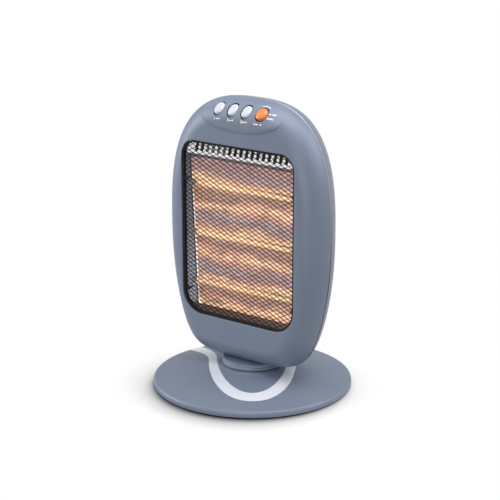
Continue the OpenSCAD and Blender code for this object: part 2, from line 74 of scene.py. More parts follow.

# %% [markdown]
# ## Working by hand, in code
# The frame arrives with its solids selected, and an operator acts on whatever is selected. So
# these helpers clear the selection before they add or edit anything. When a piece is done, it
# gets its name and finish, is hung on the body it moves with, and the solids it stands for are
# hidden.

# %% Helpers for handling pieces
def alone(obj):
    bpy.ops.object.select_all(action="DESELECT")
    obj.select_set(True)
    bpy.context.view_layer.objects.active = obj

def add(primitive, **how):
    bpy.ops.object.select_all(action="DESELECT")
    primitive(**how)
    return bpy.context.object

def in_edit(obj, *steps):
    """Runs each step in edit mode, on the whole mesh."""
    alone(obj)
    bpy.ops.object.mode_set(mode="EDIT")
    for step in steps:
        bpy.ops.mesh.select_all(action="SELECT")
        step()
    bpy.ops.object.mode_set(mode="OBJECT")

def merge_doubles():
    bpy.ops.mesh.remove_doubles(threshold=1e-6)

def face_outwards():
    bpy.ops.mesh.normals_make_consistent(inside=False)

def settle(obj):
    alone(obj)
    bpy.ops.object.transform_apply(location=True, rotation=True, scale=True)

def smooth(obj, degrees=35):
    alone(obj)
    bpy.ops.object.shade_smooth_by_angle(angle=math.radians(degrees))

def done(obj, name, body, finish, stands_for=(), degrees=35):
    obj.name = obj.data.name = name
    settle(obj)
    smooth(obj, degrees)
    obj.data.materials.clear()
    obj.data.materials.append(finish)
    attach(obj, body)
    if stands_for:
        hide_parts(*stands_for)
    print(name + ":", len(obj.data.polygons), "faces")

def apply_all(obj):
    alone(obj)
    for m in list(obj.modifiers):
        bpy.ops.object.modifier_apply(modifier=m.name)

bpy.ops.object.select_all(action="DESELECT")

# %% [markdown]
# A solid from the engineering model is a bag of loose flat triangles. A copy of it whose
# doubled corners are merged can be shaded smoothly, so round parts look round. The copy takes
# the solid's place.

# %% A smooth copy of a solid
def smooth_copy(node, body, finish):
    src = nodes[node]
    obj = src.copy()
    obj.data = src.data.copy()
    obj.parent = None
    obj.matrix_world = Matrix.Identity(4)
    for key in [k for k in obj.keys() if k.startswith("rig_")]:
        del obj[key]
    bpy.context.collection.objects.link(obj)
    in_edit(obj, merge_doubles)
    done(obj, node + "_skin", body, finish, (node,), 30)

# %% [markdown]
# ## Finishes
# Moulded plastic is never one flat colour: it has a faint cloudiness, a fine grain that breaks
# up its gloss, and a roughness that wanders a little. Each finish is a Principled shader whose
# colour, roughness and bump come from noise in the piece's own coordinates, so they stay put
# when the head turns. Numbers that are the same all over sit on the shader itself.

# %% A builder of finishes
def node_tree(name):
    mat = bpy.data.materials.new(name)
    mat.use_nodes = True
    nt = mat.node_tree
    nt.nodes.clear()
    out = nt.nodes.new("ShaderNodeOutputMaterial")
    bsdf = nt.nodes.new("ShaderNodeBsdfPrincipled")
    nt.links.new(bsdf.outputs[0], out.inputs["Surface"])
    coord = nt.nodes.new("ShaderNodeTexCoord")
    return mat, nt, bsdf, coord

def xyz(nt, coord):
    parts = nt.nodes.new("ShaderNodeSeparateXYZ")
    nt.links.new(coord.outputs["Object"], parts.inputs[0])
    return [parts.outputs[k] for k in "XYZ"]

def noise(nt, coord, scale, detail=3.0, stretch=None):
    src = coord.outputs["Object"]
    if stretch:
        mapping = nt.nodes.new("ShaderNodeMapping")
        mapping.inputs["Scale"].default_value = stretch
        nt.links.new(src, mapping.inputs["Vector"])
        src = mapping.outputs[0]
    tex = nt.nodes.new("ShaderNodeTexNoise")
    tex.inputs["Scale"].default_value = scale
    tex.inputs["Detail"].default_value = detail
    nt.links.new(src, tex.inputs["Vector"])
    return tex.outputs["Fac"]

def ramp(nt, fac, stops):
    node = nt.nodes.new("ShaderNodeValToRGB")
    els = node.color_ramp.elements
    while len(els) < len(stops):
        els.new(0.5)
    for el, (pos, col) in zip(els, stops):
        el.position = pos
        el.color = (*col, 1)
    nt.links.new(fac, node.inputs["Fac"])
    return node.outputs["Color"]

def stretch_to(nt, value, a, b, lo=0.0, hi=1.0):
    node = nt.nodes.new("ShaderNodeMapRange")
    for name, v in (("From Min", a), ("From Max", b), ("To Min", lo), ("To Max", hi)):
        node.inputs[name].default_value = v
    nt.links.new(value, node.inputs["Value"])
    return node.outputs["Result"]

def span(nt, fac, lo, hi):
    """Most of a noise lies between 0.3 and 0.7."""
    return stretch_to(nt, fac, 0.3, 0.7, lo, hi)

def bump(nt, bsdf, fac, strength, distance):
    node = nt.nodes.new("ShaderNodeBump")
    node.inputs["Strength"].default_value = strength
    node.inputs["Distance"].default_value = distance
    nt.links.new(fac, node.inputs["Height"])
    nt.links.new(node.outputs[0], bsdf.inputs["Normal"])

def shade(color, k):
    return tuple(min(1.0, c * k) for c in color)

def make_finish(name, color, rough, metallic=0.0, cloud=18, tint=0.05, grain=1400, wander=0.05,
                relief=0.12, depth=0.00008, coat=0.0, specular=0.5, glow=0.0, light=(1, 1, 1)):
    mat, nt, bsdf, coord = node_tree(name)
    for socket, v in (("Metallic", metallic), ("Coat Weight", coat), ("Emission Strength", glow),
                      ("Specular IOR Level", specular), ("Emission Color", (*light, 1))):
        bsdf.inputs[socket].default_value = v
    clouds = noise(nt, coord, cloud, 4.0)
    nt.links.new(ramp(nt, clouds, [(0.3, shade(color, 1 - tint)), (0.7, shade(color, 1 + tint))]),
                 bsdf.inputs["Base Color"])
    fine = noise(nt, coord, grain, 2.0)
    nt.links.new(span(nt, fine, rough - wander, rough + wander), bsdf.inputs["Roughness"])
    bump(nt, bsdf, fine, relief, depth)
    return mat

# %% [markdown]
# The finishes of this heater. The big mouldings are a satin blue-grey with a trace of metallic
# paint, lighter on the back. The foot wears the same blue-grey a shade deeper, as painted shade.
# The band in the foot is silver-white, the guard is black enamel, and what is hidden in the head
# is plated sheet steel, nylon and steatite.

# %% Plastic and paint
BLUE = (0.184, 0.222, 0.300)
SATIN = dict(tint=0.03, grain=2600, relief=0.08)
GLOSS = dict(grain=1200, wander=0.03, relief=0.05, coat=0.3)
shell_paint = make_finish("satin_blue_grey", BLUE, 0.47, metallic=0.15, **SATIN)
# The foot's blue-grey is the shell's a shade deeper: painted shade.
foot_paint_painted_shade = make_finish("satin_blue_grey_painted_shade", shade(BLUE, 0.95), 0.46, metallic=0.12, **SATIN)
back_paint = make_finish("satin_light_grey", (0.215, 0.236, 0.306), 0.42, metallic=0.15, **SATIN)
panel_paint = make_finish("satin_panel_grey", (0.194, 0.234, 0.315), 0.5, metallic=0.1, tint=0.03,
                          grain=3200, relief=0.15)
silver_band = make_finish("silver_white_band", (0.66, 0.69, 0.76), 0.34, tint=0.02, grain=2400,
                          relief=0.06)
black_enamel = make_finish("black_enamel", (0.006, 0.006, 0.008), 0.45, tint=0.2, grain=900,
                           relief=0.2, specular=0.2)
black_plastic = make_finish("black_grained_plastic", (0.02, 0.02, 0.022), 0.55, tint=0.15,
                            grain=1800, relief=0.4)
rocker_white = make_finish("gloss_white_plastic", (0.62, 0.635, 0.705), 0.26, tint=0.015, **GLOSS)
rocker_orange = make_finish("gloss_orange_plastic", (0.84, 0.25, 0.055), 0.22, tint=0.05, **GLOSS)
nylon = make_finish("natural_nylon", (0.72, 0.71, 0.65), 0.45, tint=0.04, grain=1600, relief=0.2)
rubber = make_finish("black_rubber", (0.018, 0.018, 0.018), 0.8, tint=0.2, grain=2200, relief=0.5)
steatite = make_finish("steatite", (0.80, 0.79, 0.74), 0.7, tint=0.05, grain=2500, relief=0.4)
casting = make_finish("rough_casting", (0.07, 0.07, 0.075), 0.65, metallic=0.6, cloud=60,
                      tint=0.3, grain=500, relief=0.9, depth=0.0004)
# The ink glows faintly: painted light.
white_ink_painted_glow = make_finish("white_ink_painted_glow", (0.92, 0.93, 0.95), 0.5, tint=0.05, grain=2500,
                        relief=0.05, glow=0.25)
sleeving = make_finish("glass_fibre_sleeving", (0.45, 0.07, 0.045), 0.75, cloud=300, tint=0.2,
                       grain=3000, relief=0.8, depth=0.0003)

# %% [markdown]
# Metals need texture in their reflection rather than in their colour. Plated sheet shows soft
# patches where the crystals of the zinc catch the light, and drawn wire a finer, darker grain.

# %% Metals
plated = make_finish("zinc_plated_sheet", (0.58, 0.59, 0.61), 0.34, metallic=1.0, cloud=140,
                     tint=0.12, grain=700, wander=0.08, relief=0.15)
spring_steel = make_finish("spring_steel", (0.46, 0.45, 0.44), 0.3, metallic=1.0, cloud=90,
                           tint=0.1, grain=900, relief=0.1)

# %% [markdown]
# The reflector is bright rolled aluminium. Its mirror image of each lamp is smeared up and down
# by the roll marks: a bright band at the lamp, a second one under it, and pinkish grey between.
# Path tracing such blurred images takes very many samples, so the bands are painted reflection:
# the shader gives them off as its own glow, laid out by height in the piece's own coordinates and
# broken up by streaky noise. It also paints the fold of the tray's walls: a dark line of painted
# shade and a bright edge of painted highlight. The walls get painted shading, darker at the top
# and lighter below, and a faint painted glow of their own.

# %% Reflector sheet
LAMP_Z = (0.2821, 0.2114, 0.1407)
LAMP_PITCH = LAMP_Z[0] - LAMP_Z[1]
LAMP_Y = -20 * MM
FOLD_HIGH, FOLD_HIGH_Y = 320.0, -25.5
FOLD_LOW, FOLD_LOW_Y = 106.0, -16.0

def math_node(nt, operation, a, b=None):
    node = nt.nodes.new("ShaderNodeMath")
    node.operation = operation
    for k, v in enumerate((a, b)):
        if isinstance(v, (int, float)):
            node.inputs[k].default_value = v
        elif v is not None:
            nt.links.new(v, node.inputs[k])
    return node.outputs[0]

def times(nt, a, b):
    return math_node(nt, "MULTIPLY", a, b)

def minus(nt, a, b):
    return math_node(nt, "SUBTRACT", a, b)

def blend_colors(nt, fac, a, b):
    node = nt.nodes.new("ShaderNodeMix")
    node.data_type = "RGBA"
    nt.links.new(fac, node.inputs["Factor"])
    for socket, v in ((node.inputs[6], a), (node.inputs[7], b)):
        if isinstance(v, tuple):
            socket.default_value = (*v, 1)
        else:
            nt.links.new(v, socket)
    return node.outputs[2]

def reflector_finish():
    mat, nt, bsdf, coord = node_tree("bright_reflector_sheet")
    x, y, z = xyz(nt, coord)
    fine = noise(nt, coord, 500, 2.0, (0.15, 1.0, 3.0))
    nt.links.new(span(nt, fine, 0.34, 0.5), bsdf.inputs["Roughness"])
    bump(nt, bsdf, fine, 0.2, 0.0002)
    # how far behind the fold of the walls a point lies, in metres
    fold = stretch_to(nt, z, FOLD_HIGH * MM, FOLD_LOW * MM, FOLD_HIGH_Y * MM, FOLD_LOW_Y * MM)
    behind = minus(nt, y, fold)
    painted_reflection_area = stretch_to(nt, behind, 0.0006, 0.0018)
    # painted shade: a dark line along the fold, which also gives no glow
    line = times(nt, stretch_to(nt, behind, -0.0009, -0.0003),
                 stretch_to(nt, behind, 0.0012, 0.0006))
    # painted highlight: a bright edge just behind the fold, only on the lower part of the side
    # walls
    side = stretch_to(nt, math_node(nt, "ABSOLUTE", x), 0.080, 0.0815)
    painted_fold_highlight = times(nt, side, times(nt, stretch_to(nt, behind, 0.0010, 0.0014),
                                 stretch_to(nt, behind, 0.0032, 0.0026)))
    painted_fold_highlight = times(nt, painted_fold_highlight, stretch_to(nt, z, 0.285, 0.245))
    # painted reflection of each lamp on the sheet: bright, then a second band, then grey
    wobble = stretch_to(nt, noise(nt, coord, 13, 3.0, (1.0, 1.0, 2.2)), 0.25, 0.75, -0.009, 0.009)
    below = minus(nt, LAMP_Z[0] + 0.004, math_node(nt, "ADD", z, wobble))
    turn = math_node(nt, "FRACT", math_node(nt, "DIVIDE", below, LAMP_PITCH))
    bands = ramp(nt, turn, PAINTED_LAMP_REFLECTION)
    upper = stretch_to(nt, z, 0.296, 0.304)
    bands = blend_colors(nt, upper, bands, (0.33, 0.20, 0.195))
    patch = noise(nt, coord, 42, 3.0, (0.7, 1.0, 2.5))
    bands = blend_colors(nt, stretch_to(nt, patch, 0.54, 0.70), bands, (0.40, 0.21, 0.17))
    scaly = noise(nt, coord, 150, 2.0, (0.6, 1.0, 1.6))
    nt.links.new(times(nt, painted_reflection_area, 0.6), bsdf.inputs["Metallic"])
    # painted shading of the walls by height, used both as their colour and as their painted glow
    wall = ramp(nt, stretch_to(nt, z, 0.32, 0.10), WALL_PAINTED_SHADING)
    color = blend_colors(nt, painted_reflection_area, wall, (0.24, 0.22, 0.22))
    color = blend_colors(nt, line, color, (0.012, 0.012, 0.014))
    color = blend_colors(nt, painted_fold_highlight, color, (0.8, 0.8, 0.82))
    nt.links.new(color, bsdf.inputs["Base Color"])
    # painted light: the lamps' painted reflection on the back, the walls' painted shading, the
    # painted highlight at the fold
    painted_light_color = blend_colors(nt, painted_fold_highlight, blend_colors(nt, painted_reflection_area, wall, bands), (0.85, 0.85, 0.88))
    nt.links.new(painted_light_color, bsdf.inputs["Emission Color"])
    plain = minus(nt, 1.0, line)
    flicker = stretch_to(nt, scaly, 0.3, 0.7, 0.6, 1.6)
    # the walls glow faintly as painted light, the back brighter with its painted reflection, and
    # the painted dark line gives none
    painted_light_level = math_node(nt, "MAXIMUM", times(nt, painted_reflection_area, flicker), 0.35)
    nt.links.new(times(nt, painted_light_level, plain), bsdf.inputs["Emission Strength"])
    return mat

# painted reflection of one lamp pitch: colours that the back sheet gives off as glow
PAINTED_LAMP_REFLECTION = [(0.0, (0.92, 0.62, 0.38)), (0.07, (0.78, 0.45, 0.27)), (0.14, (0.41, 0.22, 0.15)),
        (0.28, (0.36, 0.185, 0.135)), (0.38, (0.72, 0.38, 0.23)), (0.47, (1.0, 0.62, 0.37)),
        (0.55, (0.76, 0.37, 0.22)), (0.64, (0.43, 0.265, 0.235)), (0.74, (0.375, 0.275, 0.29)),
        (0.86, (0.43, 0.26, 0.23)), (0.93, (0.74, 0.40, 0.24)), (1.0, (0.92, 0.62, 0.38))]
# painted shading of the side walls: darker at the top, lighter lower down, a dark stripe at the
# bottom
WALL_PAINTED_SHADING = [(0.0, (0.19, 0.20, 0.26)), (0.4, (0.24, 0.26, 0.32)), (0.72, (0.37, 0.41, 0.49)),
              (0.95, (0.44, 0.48, 0.55)), (0.98, (0.09, 0.075, 0.08))]
mirror_sheet = reflector_finish()
# The strip glows faintly in white: painted light.
strip_paint_painted_glow = make_finish("white_slotted_strip_painted_glow", (0.78, 0.78, 0.80), 0.4, tint=0.03, grain=900,
                          relief=0.1, glow=0.6, light=(1.0, 0.97, 0.95))

def slot_shade_finish():
    """A black board, painted shade behind the slots, with a grey patch that shows through the slots
    on the left.
    """
    mat, nt, bsdf, coord = node_tree("shade_board_behind_slots")
    patch = ramp(nt, stretch_to(nt, xyz(nt, coord)[0], -0.08, 0.0),
                 [(0.16, (0.004, 0.004, 0.005)), (0.24, (0.24, 0.24, 0.26)),
                  (0.62, (0.18, 0.18, 0.20)), (0.68, (0.004, 0.004, 0.005))])
    nt.links.new(patch, bsdf.inputs["Base Color"])
    nt.links.new(span(nt, noise(nt, coord, 700), 0.7, 0.9), bsdf.inputs["Roughness"])
    return mat

slot_shade = slot_shade_finish()

# %% [markdown]
# A lamp is a clear quartz tube round a tungsten coil. At this size the coil burns out to a warm
# white line with an orange rim. The glass is given a faint glow of its own so that its shape
# still reads against the bright sheet, and its ends are dulled where the caps are cemented on.

# %% Quartz and glowing coil
def quartz_finish():
    mat, nt, bsdf, coord = node_tree("clear_quartz")
    bsdf.inputs["Transmission Weight"].default_value = 1.0
    bsdf.inputs["IOR"].default_value = 1.25
    haze = noise(nt, coord, 220, 3.0, (0.2, 1.0, 1.0))
    clear = ramp(nt, haze, [(0.3, (1.0, 0.94, 0.87)), (0.7, (1.0, 0.98, 0.94))])
    end = stretch_to(nt, math_node(nt, "ABSOLUTE", xyz(nt, coord)[0]), 0.080, 0.086)
    nt.links.new(blend_colors(nt, end, clear, (0.55, 0.5, 0.5)), bsdf.inputs["Base Color"])
    nt.links.new(blend_colors(nt, end, (1.0, 0.68, 0.36), (0.8, 0.8, 0.9)),
                 bsdf.inputs["Emission Color"])
    nt.links.new(span(nt, haze, 0.02, 0.09), bsdf.inputs["Roughness"])
    bsdf.inputs["Emission Strength"].default_value = 0.07
    return mat

def coil_finish():
    mat, nt, bsdf, coord = node_tree("glowing_tungsten")
    bsdf.inputs["Metallic"].default_value = 1.0
    bsdf.inputs["Roughness"].default_value = 0.4
    heat = noise(nt, coord, 60, 2.0, (1.0, 0.2, 0.2))
    nt.links.new(ramp(nt, heat, [(0.3, (1.0, 0.54, 0.30)), (0.7, (1.0, 0.74, 0.50))]),
                 bsdf.inputs["Emission Color"])
    nt.links.new(ramp(nt, heat, [(0.3, (0.35, 0.3, 0.28)), (0.7, (0.5, 0.45, 0.42))]),
                 bsdf.inputs["Base Color"])
    bsdf.inputs["Emission Strength"].default_value = 0.9
    return mat

quartz = quartz_finish()
hot_coil = coil_finish()
print("finishes:", len(bpy.data.materials))

# %% [markdown]
# ## The shape of the head
# Both halves of the head follow one outline: a full, squarish curve above the widest place and
# a rounder one below, cut off flat for the collar. Each half is that outline drawn in step by
# step as it curves away from the parting line. A sculpted egg could not be kept to size, so the
# skins are drawn ring by ring from the same rule that the engineering model follows.

# %% Outline of the head
shell_low, shell_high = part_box("front_shell")
HALF_W = shell_high[0]
FRONT_Y = shell_low[1]
BACK_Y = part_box("back_shell")[1][1]
TOP_Z = shell_high[2]
BOTTOM_Z = shell_low[2]
WIDE_Z = 228 * MM
LOW_AXIS = 245 * MM
FRONT_IN = 30 * MM
FULL_ABOVE = 2.75
FULL_BELOW = 2.14
FLAT_BLEND = 14
BACK_SIDE = 46 * MM
BACK_END = 27 * MM
BACK_ROUND = 1.25
WALL = 2.5 * MM

def fuller(t, a, b, n):
    return ((abs(math.sin(t)) / a) ** n + (abs(math.cos(t)) / b) ** n) ** (-1 / n)

def reach(t, side_in=0.0, end_in=0.0):
    up = math.cos(t) > 0
    if up:
        return fuller(t, HALF_W - side_in, TOP_Z - WIDE_Z - end_in, FULL_ABOVE)
    low = fuller(t, HALF_W - side_in, LOW_AXIS - end_in, FULL_BELOW)
    flat = -math.cos(t) / (WIDE_Z - BOTTOM_Z - end_in)
    return (low ** -FLAT_BLEND + flat ** FLAT_BLEND) ** (-1 / FLAT_BLEND)

def even_angles(count, fine=4000):
    """Angles whose points lie evenly spaced along the outline."""
    t = [2 * math.pi * k / fine for k in range(fine + 1)]
    pts = [Vector((reach(a) * math.sin(a), reach(a) * math.cos(a))) for a in t]
    run = [0.0]
    for a, b in zip(pts, pts[1:]):
        run.append(run[-1] + (b - a).length)
    out, k = [], 0
    for j in range(count):
        while run[k + 1] < run[-1] * j / count:
            k += 1
        out.append(t[k])
    return out

AROUND = even_angles(360)

def head_ring(y, side_in, end_in):
    return [Vector((reach(t, side_in, end_in) * math.sin(t), y,
                    WIDE_Z + reach(t, side_in, end_in) * math.cos(t))) for t in AROUND]

# %% [markdown]
# A ring-by-ring skin starts as a circle primitive. Its rim is extruded once for each further
# ring, and the new corners are moved onto that ring. Each corner remembers its number, so the
# rings never twist against each other.

# %% Skins drawn ring by ring
def loft(rings, close_first=False, close_last=False):
    obj = add(bpy.ops.mesh.primitive_circle_add, vertices=len(rings[0]), radius=0.1)
    bpy.ops.object.mode_set(mode="EDIT")
    bpy.ops.mesh.select_all(action="SELECT")
    bm = bmesh.from_edit_mesh(obj.data)
    place = bm.verts.layers.int.new("place")
    level = bm.verts.layers.int.new("level")
    for i, v in enumerate(bm.verts):
        v[place] = i
    for k, ring in enumerate(rings):
        if k:
            bpy.ops.mesh.extrude_region_move()
            bm = bmesh.from_edit_mesh(obj.data)
            place = bm.verts.layers.int["place"]
            level = bm.verts.layers.int["level"]
        for v in bm.verts:
            if v.select:
                v.co = ring[v[place]]
                v[level] = k
        bmesh.update_edit_mesh(obj.data)
    for shut, k in ((close_first, 0), (close_last, len(rings) - 1)):
        if shut:
            bpy.ops.mesh.select_all(action="DESELECT")
            bpy.ops.mesh.select_mode(type="VERT")
            bm = bmesh.from_edit_mesh(obj.data)
            level = bm.verts.layers.int["level"]
            for v in bm.verts:
                v.select = v[level] == k
            bm.select_flush(True)
            bpy.ops.mesh.edge_face_add()
    bpy.ops.mesh.select_all(action="SELECT")
    face_outwards()
    bpy.ops.object.mode_set(mode="OBJECT")
    for name in ("place", "level"):
        obj.data.attributes.remove(obj.data.attributes[name])
    return obj

def thicken(obj, wall):
    m = obj.modifiers.new("wall", "SOLIDIFY")
    m.thickness = wall
    m.offset = -1
    m.use_even_offset = True
    apply_all(obj)

def carve(obj, cutter, how="DIFFERENCE", solver="EXACT"):
    """Cuts obj with a closed solid, which is used up."""
    m = obj.modifiers.new("cut", "BOOLEAN")
    m.operation = how
    m.solver = solver
    m.object = cutter
    apply_all(obj)
    bpy.data.objects.remove(cutter)

def join(pieces):
    bpy.ops.object.select_all(action="DESELECT")
    for p in pieces:
        p.select_set(True)
    bpy.context.view_layer.objects.active = pieces[0]
    bpy.ops.object.join()
    return pieces[0]

def cylinder(radius, depth, place, axis="Z", sides=48):
    turn = {"X": (0, math.pi / 2, 0), "Y": (math.pi / 2, 0, 0), "Z": (0, 0, 0)}[axis]
    obj = add(bpy.ops.mesh.primitive_cylinder_add, radius=radius, depth=depth, location=place,
              rotation=turn, vertices=sides)
    settle(obj)
    return obj

def hoop(rings):
    """A loft that runs on from its last ring to the first, with the seam closed."""
    obj = loft(rings + [rings[0]])
    in_edit(obj, merge_doubles, face_outwards)
    return obj

def lathe(section, sides=256, axis="Z", place=(0, 0, 0)):
    """A closed section of (radius, height) pairs in millimetres, turned round an axis."""
    rings = []
    for r, h in section:
        ring = []
        for k in range(sides):
            a = 2 * math.pi * k / sides
            u, v = r * math.cos(a), r * math.sin(a)
            spot = {"X": (h, u, v), "Y": (v, h, u), "Z": (u, v, h)}[axis]
            ring.append(Vector(spot) * MM + Vector(place))
        rings.append(ring)
    return hoop(rings)

def rounded(w, h, corner, arc=8, low_corner=None):
    """Points of a rectangle with round corners, anticlockwise."""
    out = []
    for k, (sx, sy) in enumerate(((1, 1), (-1, 1), (-1, -1), (1, -1))):
        r = low_corner if low_corner and sy < 0 else corner
        for j in range(arc):
            a = math.pi / 2 * (k + j / (arc - 1))
            out.append((sx * (w / 2 - r) + r * math.cos(a), sy * (h / 2 - r) + r * math.sin(a)))
    return out

def moved(points, dx, dy):
    return [(x + dx, y + dy) for x, y in points]

def turned(points, angle):
    c, s = math.cos(angle), math.sin(angle)
    return [(x * c - y * s, x * s + y * c) for x, y in points]

# %% [markdown]
# The window has rounder corners below than above. The same outline, drawn in or out a little,
# gives the hole in the shell, the black frame and the edge of the guard.

# %% Outline of the window
frame_low, frame_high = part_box("guard_frame")
GAP = 0.3 * MM
WIN_Z = (frame_low[2] + frame_high[2]) / 2
WIN_HALF = frame_high[0] + GAP
WIN_REACH = (frame_high[2] - frame_low[2]) / 2 + GAP
CORNER_TOP = 22 * MM
CORNER_LOW = 33 * MM

def window(y, inset, arc=14):
    edge = rounded(2 * (WIN_HALF - inset), 2 * (WIN_REACH - inset), CORNER_TOP - inset, arc,
                   CORNER_LOW - inset)
    return [Vector((x, y, WIN_Z + z)) for x, z in edge]

# %% [markdown]
# ## The control panel's own directions
# The panel lies on the shoulder above the window, tilted back by 51 degrees. Everything on it is
# placed in its own directions: to the right, up the slope, and out of the surface. A point is
# laid on the shell by moving it along the outward direction until it meets the skin.

# %% Places on the panel
PANEL_TILT = math.radians(51)
PANEL_AT = Vector((0, FRONT_Y + 6 * MM, TOP_Z - 14.7 * MM))
UP_SLOPE = Vector((0, math.cos(PANEL_TILT), math.sin(PANEL_TILT)))
OUTWARD = Vector((0, -math.sin(PANEL_TILT), math.cos(PANEL_TILT)))
LENS_X = 3 * MM
LENS_HALF = 67 * MM
LENS_LOW = 26.2 * MM
LENS_TOP = 17 * MM
LENS_POW = 2.6

def on_panel(x, up, out):
    return PANEL_AT + Vector((x, 0, 0)) + UP_SLOPE * up + OUTWARD * out

def in_head(p):
    """Whether a point in front of the parting line lies inside the front shell's skin."""
    depth = min(1.0, max(0.0, p.y / FRONT_Y))
    step = FRONT_IN * (1 - math.sqrt(1 - depth * depth))
    t = math.atan2(p.x, p.z - WIDE_Z)
    return p.y > FRONT_Y and math.hypot(p.x, p.z - WIDE_Z) < reach(t, step, step)

def shell_level(x, up):
    low, high = -40 * MM, 30 * MM
    for _ in range(26):
        mid = (low + high) / 2
        if in_head(on_panel(x, up, mid)):
            low = mid
        else:
            high = mid
    return low

def ease(v):
    v = min(1.0, max(0.0, v))
    return v * v * (3 - 2 * v)

SEAM = 0.04 * MM
PAD_LIFT = 2.3 * MM
PAD_FADE = 12 * MM
PAD_ROLL = 7 * MM

def pad_lift(x, up):
    """Height of the raised panel over the shell: rolled over at the rim, fading up the slope."""
    side = abs(x - LENS_X) / LENS_HALF
    end = abs(up) / (LENS_TOP if up > 0 else LENS_LOW)
    share = (side ** LENS_POW + end ** LENS_POW) ** (1 / LENS_POW)
    if share < 1e-6:
        room = LENS_TOP
    else:
        room = (1 - share) * math.hypot(x - LENS_X, up) / share
    roll = min(1.0, max(0.0, room / PAD_ROLL))
    full = PAD_LIFT * (1 - ease((up + 0.12 * x + PAD_FADE) / (2 * PAD_FADE)))
    return full * math.sqrt(1 - (1 - roll) ** 2)

def squarish(power, sides):
    """Points of a circle that swells towards a square as the power grows."""
    return [tuple(math.copysign(abs(v) ** (2 / power), v) for v in (math.cos(a), math.sin(a)))
            for a in [2 * math.pi * k / sides for k in range(sides)]]

def lens_ring(share, grow=0.0, sides=160):
    return [(LENS_X + (LENS_HALF * share + grow) * u,
             ((LENS_TOP if v > 0 else LENS_LOW) * share + grow) * v)
            for u, v in squarish(LENS_POW, sides)]

def prism(outline, low, high):
    """A closed cutter through the panel with this outline."""
    return loft([[on_panel(x, up, low) for x, up in outline],
                 [on_panel(x, up, high) for x, up in outline]], True, True)

# %% [markdown]
# ## Front shell
# The moulding runs from the parting line round a soft shoulder to a flat face. Chamfers on both
# sides of the parting line make the thin line that runs round the head; on the back shell's
# chamfer it is helped by a painted highlight above and painted shade below. The window is cut with
# a flared cutter, which leaves its edge rounded as on a real moulding, and the lens-shaped
# place of the control panel and the hole over the collar are cut after it.

# %% Front shell
SHOULDER_RINGS = 22
PART_GAP = 0.05 * MM
FRONT_CHAMFER = 0.5 * MM
BACK_CHAMFER = 1.1 * MM

def collar_hole():
    return cylinder(45.8 * MM, 24 * MM, (0, 0, 28.5 * MM), sides=128)

def make_front_shell():
    rings = [head_ring(-PART_GAP, FRONT_CHAMFER, FRONT_CHAMFER)]
    for k in range(SHOULDER_RINGS + 1):
        a = math.pi / 2 * max(k / SHOULDER_RINGS, 0.02)
        step = FRONT_IN * (1 - math.cos(a))
        rings.append(head_ring(FRONT_Y * math.sin(a), step, step))
    shell = loft(rings, close_last=True)
    thicken(shell, WALL)
    flare = [(-45, -3.0), (-37.7, -1.1), (-37.3, -0.55), (-36.8, -0.2), (-36.2, 0), (-20, 0)]
    carve(shell, loft([window(y * MM, g * MM) for y, g in flare], True, True))
    carve(shell, prism(lens_ring(1, SEAM), -22 * MM, 38 * MM))
    carve(shell, collar_hole())
    return shell

done(make_front_shell(), "front_shell_skin", "head", shell_paint,
     ("front_shell",), 28)

# %% [markdown]
# ## Back shell
# The back is deeper and rounder, in a paler grey. Thirteen rows of three louvres let the warm
# air out, the carrying grip and the cable inlet have their openings, and four deep holes lead
# to the screws that hold the halves together. A louvre is modelled as a slot-shaped prism, and
# all of them are joined and cut in one go, which is far quicker than 39 cuts.

# %% Back shell
VENT_W = 36 * MM
VENT_H = 4 * MM
VENT_X = 46 * MM
VENT_Z = 112 * MM
VENT_PITCH = 14.5 * MM
VENT_ROWS = 13
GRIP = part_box("grip_cup")
GRIP_FLANGE = 2 * MM
GRIP_CORNER = 8 * MM
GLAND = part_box("inlet_gland")
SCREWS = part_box("shell_screws")
GLAND_HOLE = 7.3 * MM
SCREW_Z = (0.3, 0.13)
SCREW_HALF = SCREWS[1][0] - 3.1 * MM
LOW_STEP_IN = 6.1 * MM
POST_HOLE, POST_R = 3.5, 5.3
POST_FROM, POST_TO = 3.2, 42

def paint_parting_line_light(mat):
    """Paints the thin chamfer beside the parting line: a painted highlight above, painted shade
    below.
    """
    nt = mat.node_tree
    bsdf, coord = (next(n for n in nt.nodes if n.type == kind)
                   for kind in ("BSDF_PRINCIPLED", "TEX_COORD"))
    plain = bsdf.inputs["Base Color"].links[0].from_socket
    _, y, z = xyz(nt, coord)
    line = ramp(nt, stretch_to(nt, z, 0.17, 0.29),
                [(0.0, (0.03, 0.035, 0.045)), (0.45, (0.16, 0.18, 0.23)),
                 (1.0, (0.42, 0.45, 0.52))])
    near = stretch_to(nt, y, 0.0016, 0.0011)
    nt.links.new(blend_colors(nt, near, plain, line), bsdf.inputs["Base Color"])

# the back shell's paint gets a painted highlight above and painted shade below along the parting
# line
paint_parting_line_light(back_paint)

def upright_prism(outline, x, z, y0, y1):
    return loft([[Vector((x + u, y, z + v)) for u, v in outline] for y in (y0, y1)], True, True)

def back_rings(off=0.0):
    rings = [head_ring(PART_GAP, BACK_CHAMFER + off, BACK_CHAMFER + off)]
    for k in range(SHOULDER_RINGS + 1):
        a = math.pi / 2 * max(k / SHOULDER_RINGS, 0.04)
        g = 1 - math.cos(a) ** BACK_ROUND
        rings.append(head_ring((BACK_Y - off) * math.sin(a) ** BACK_ROUND, BACK_SIDE * g + off,
                               BACK_END * g + off))
    return rings

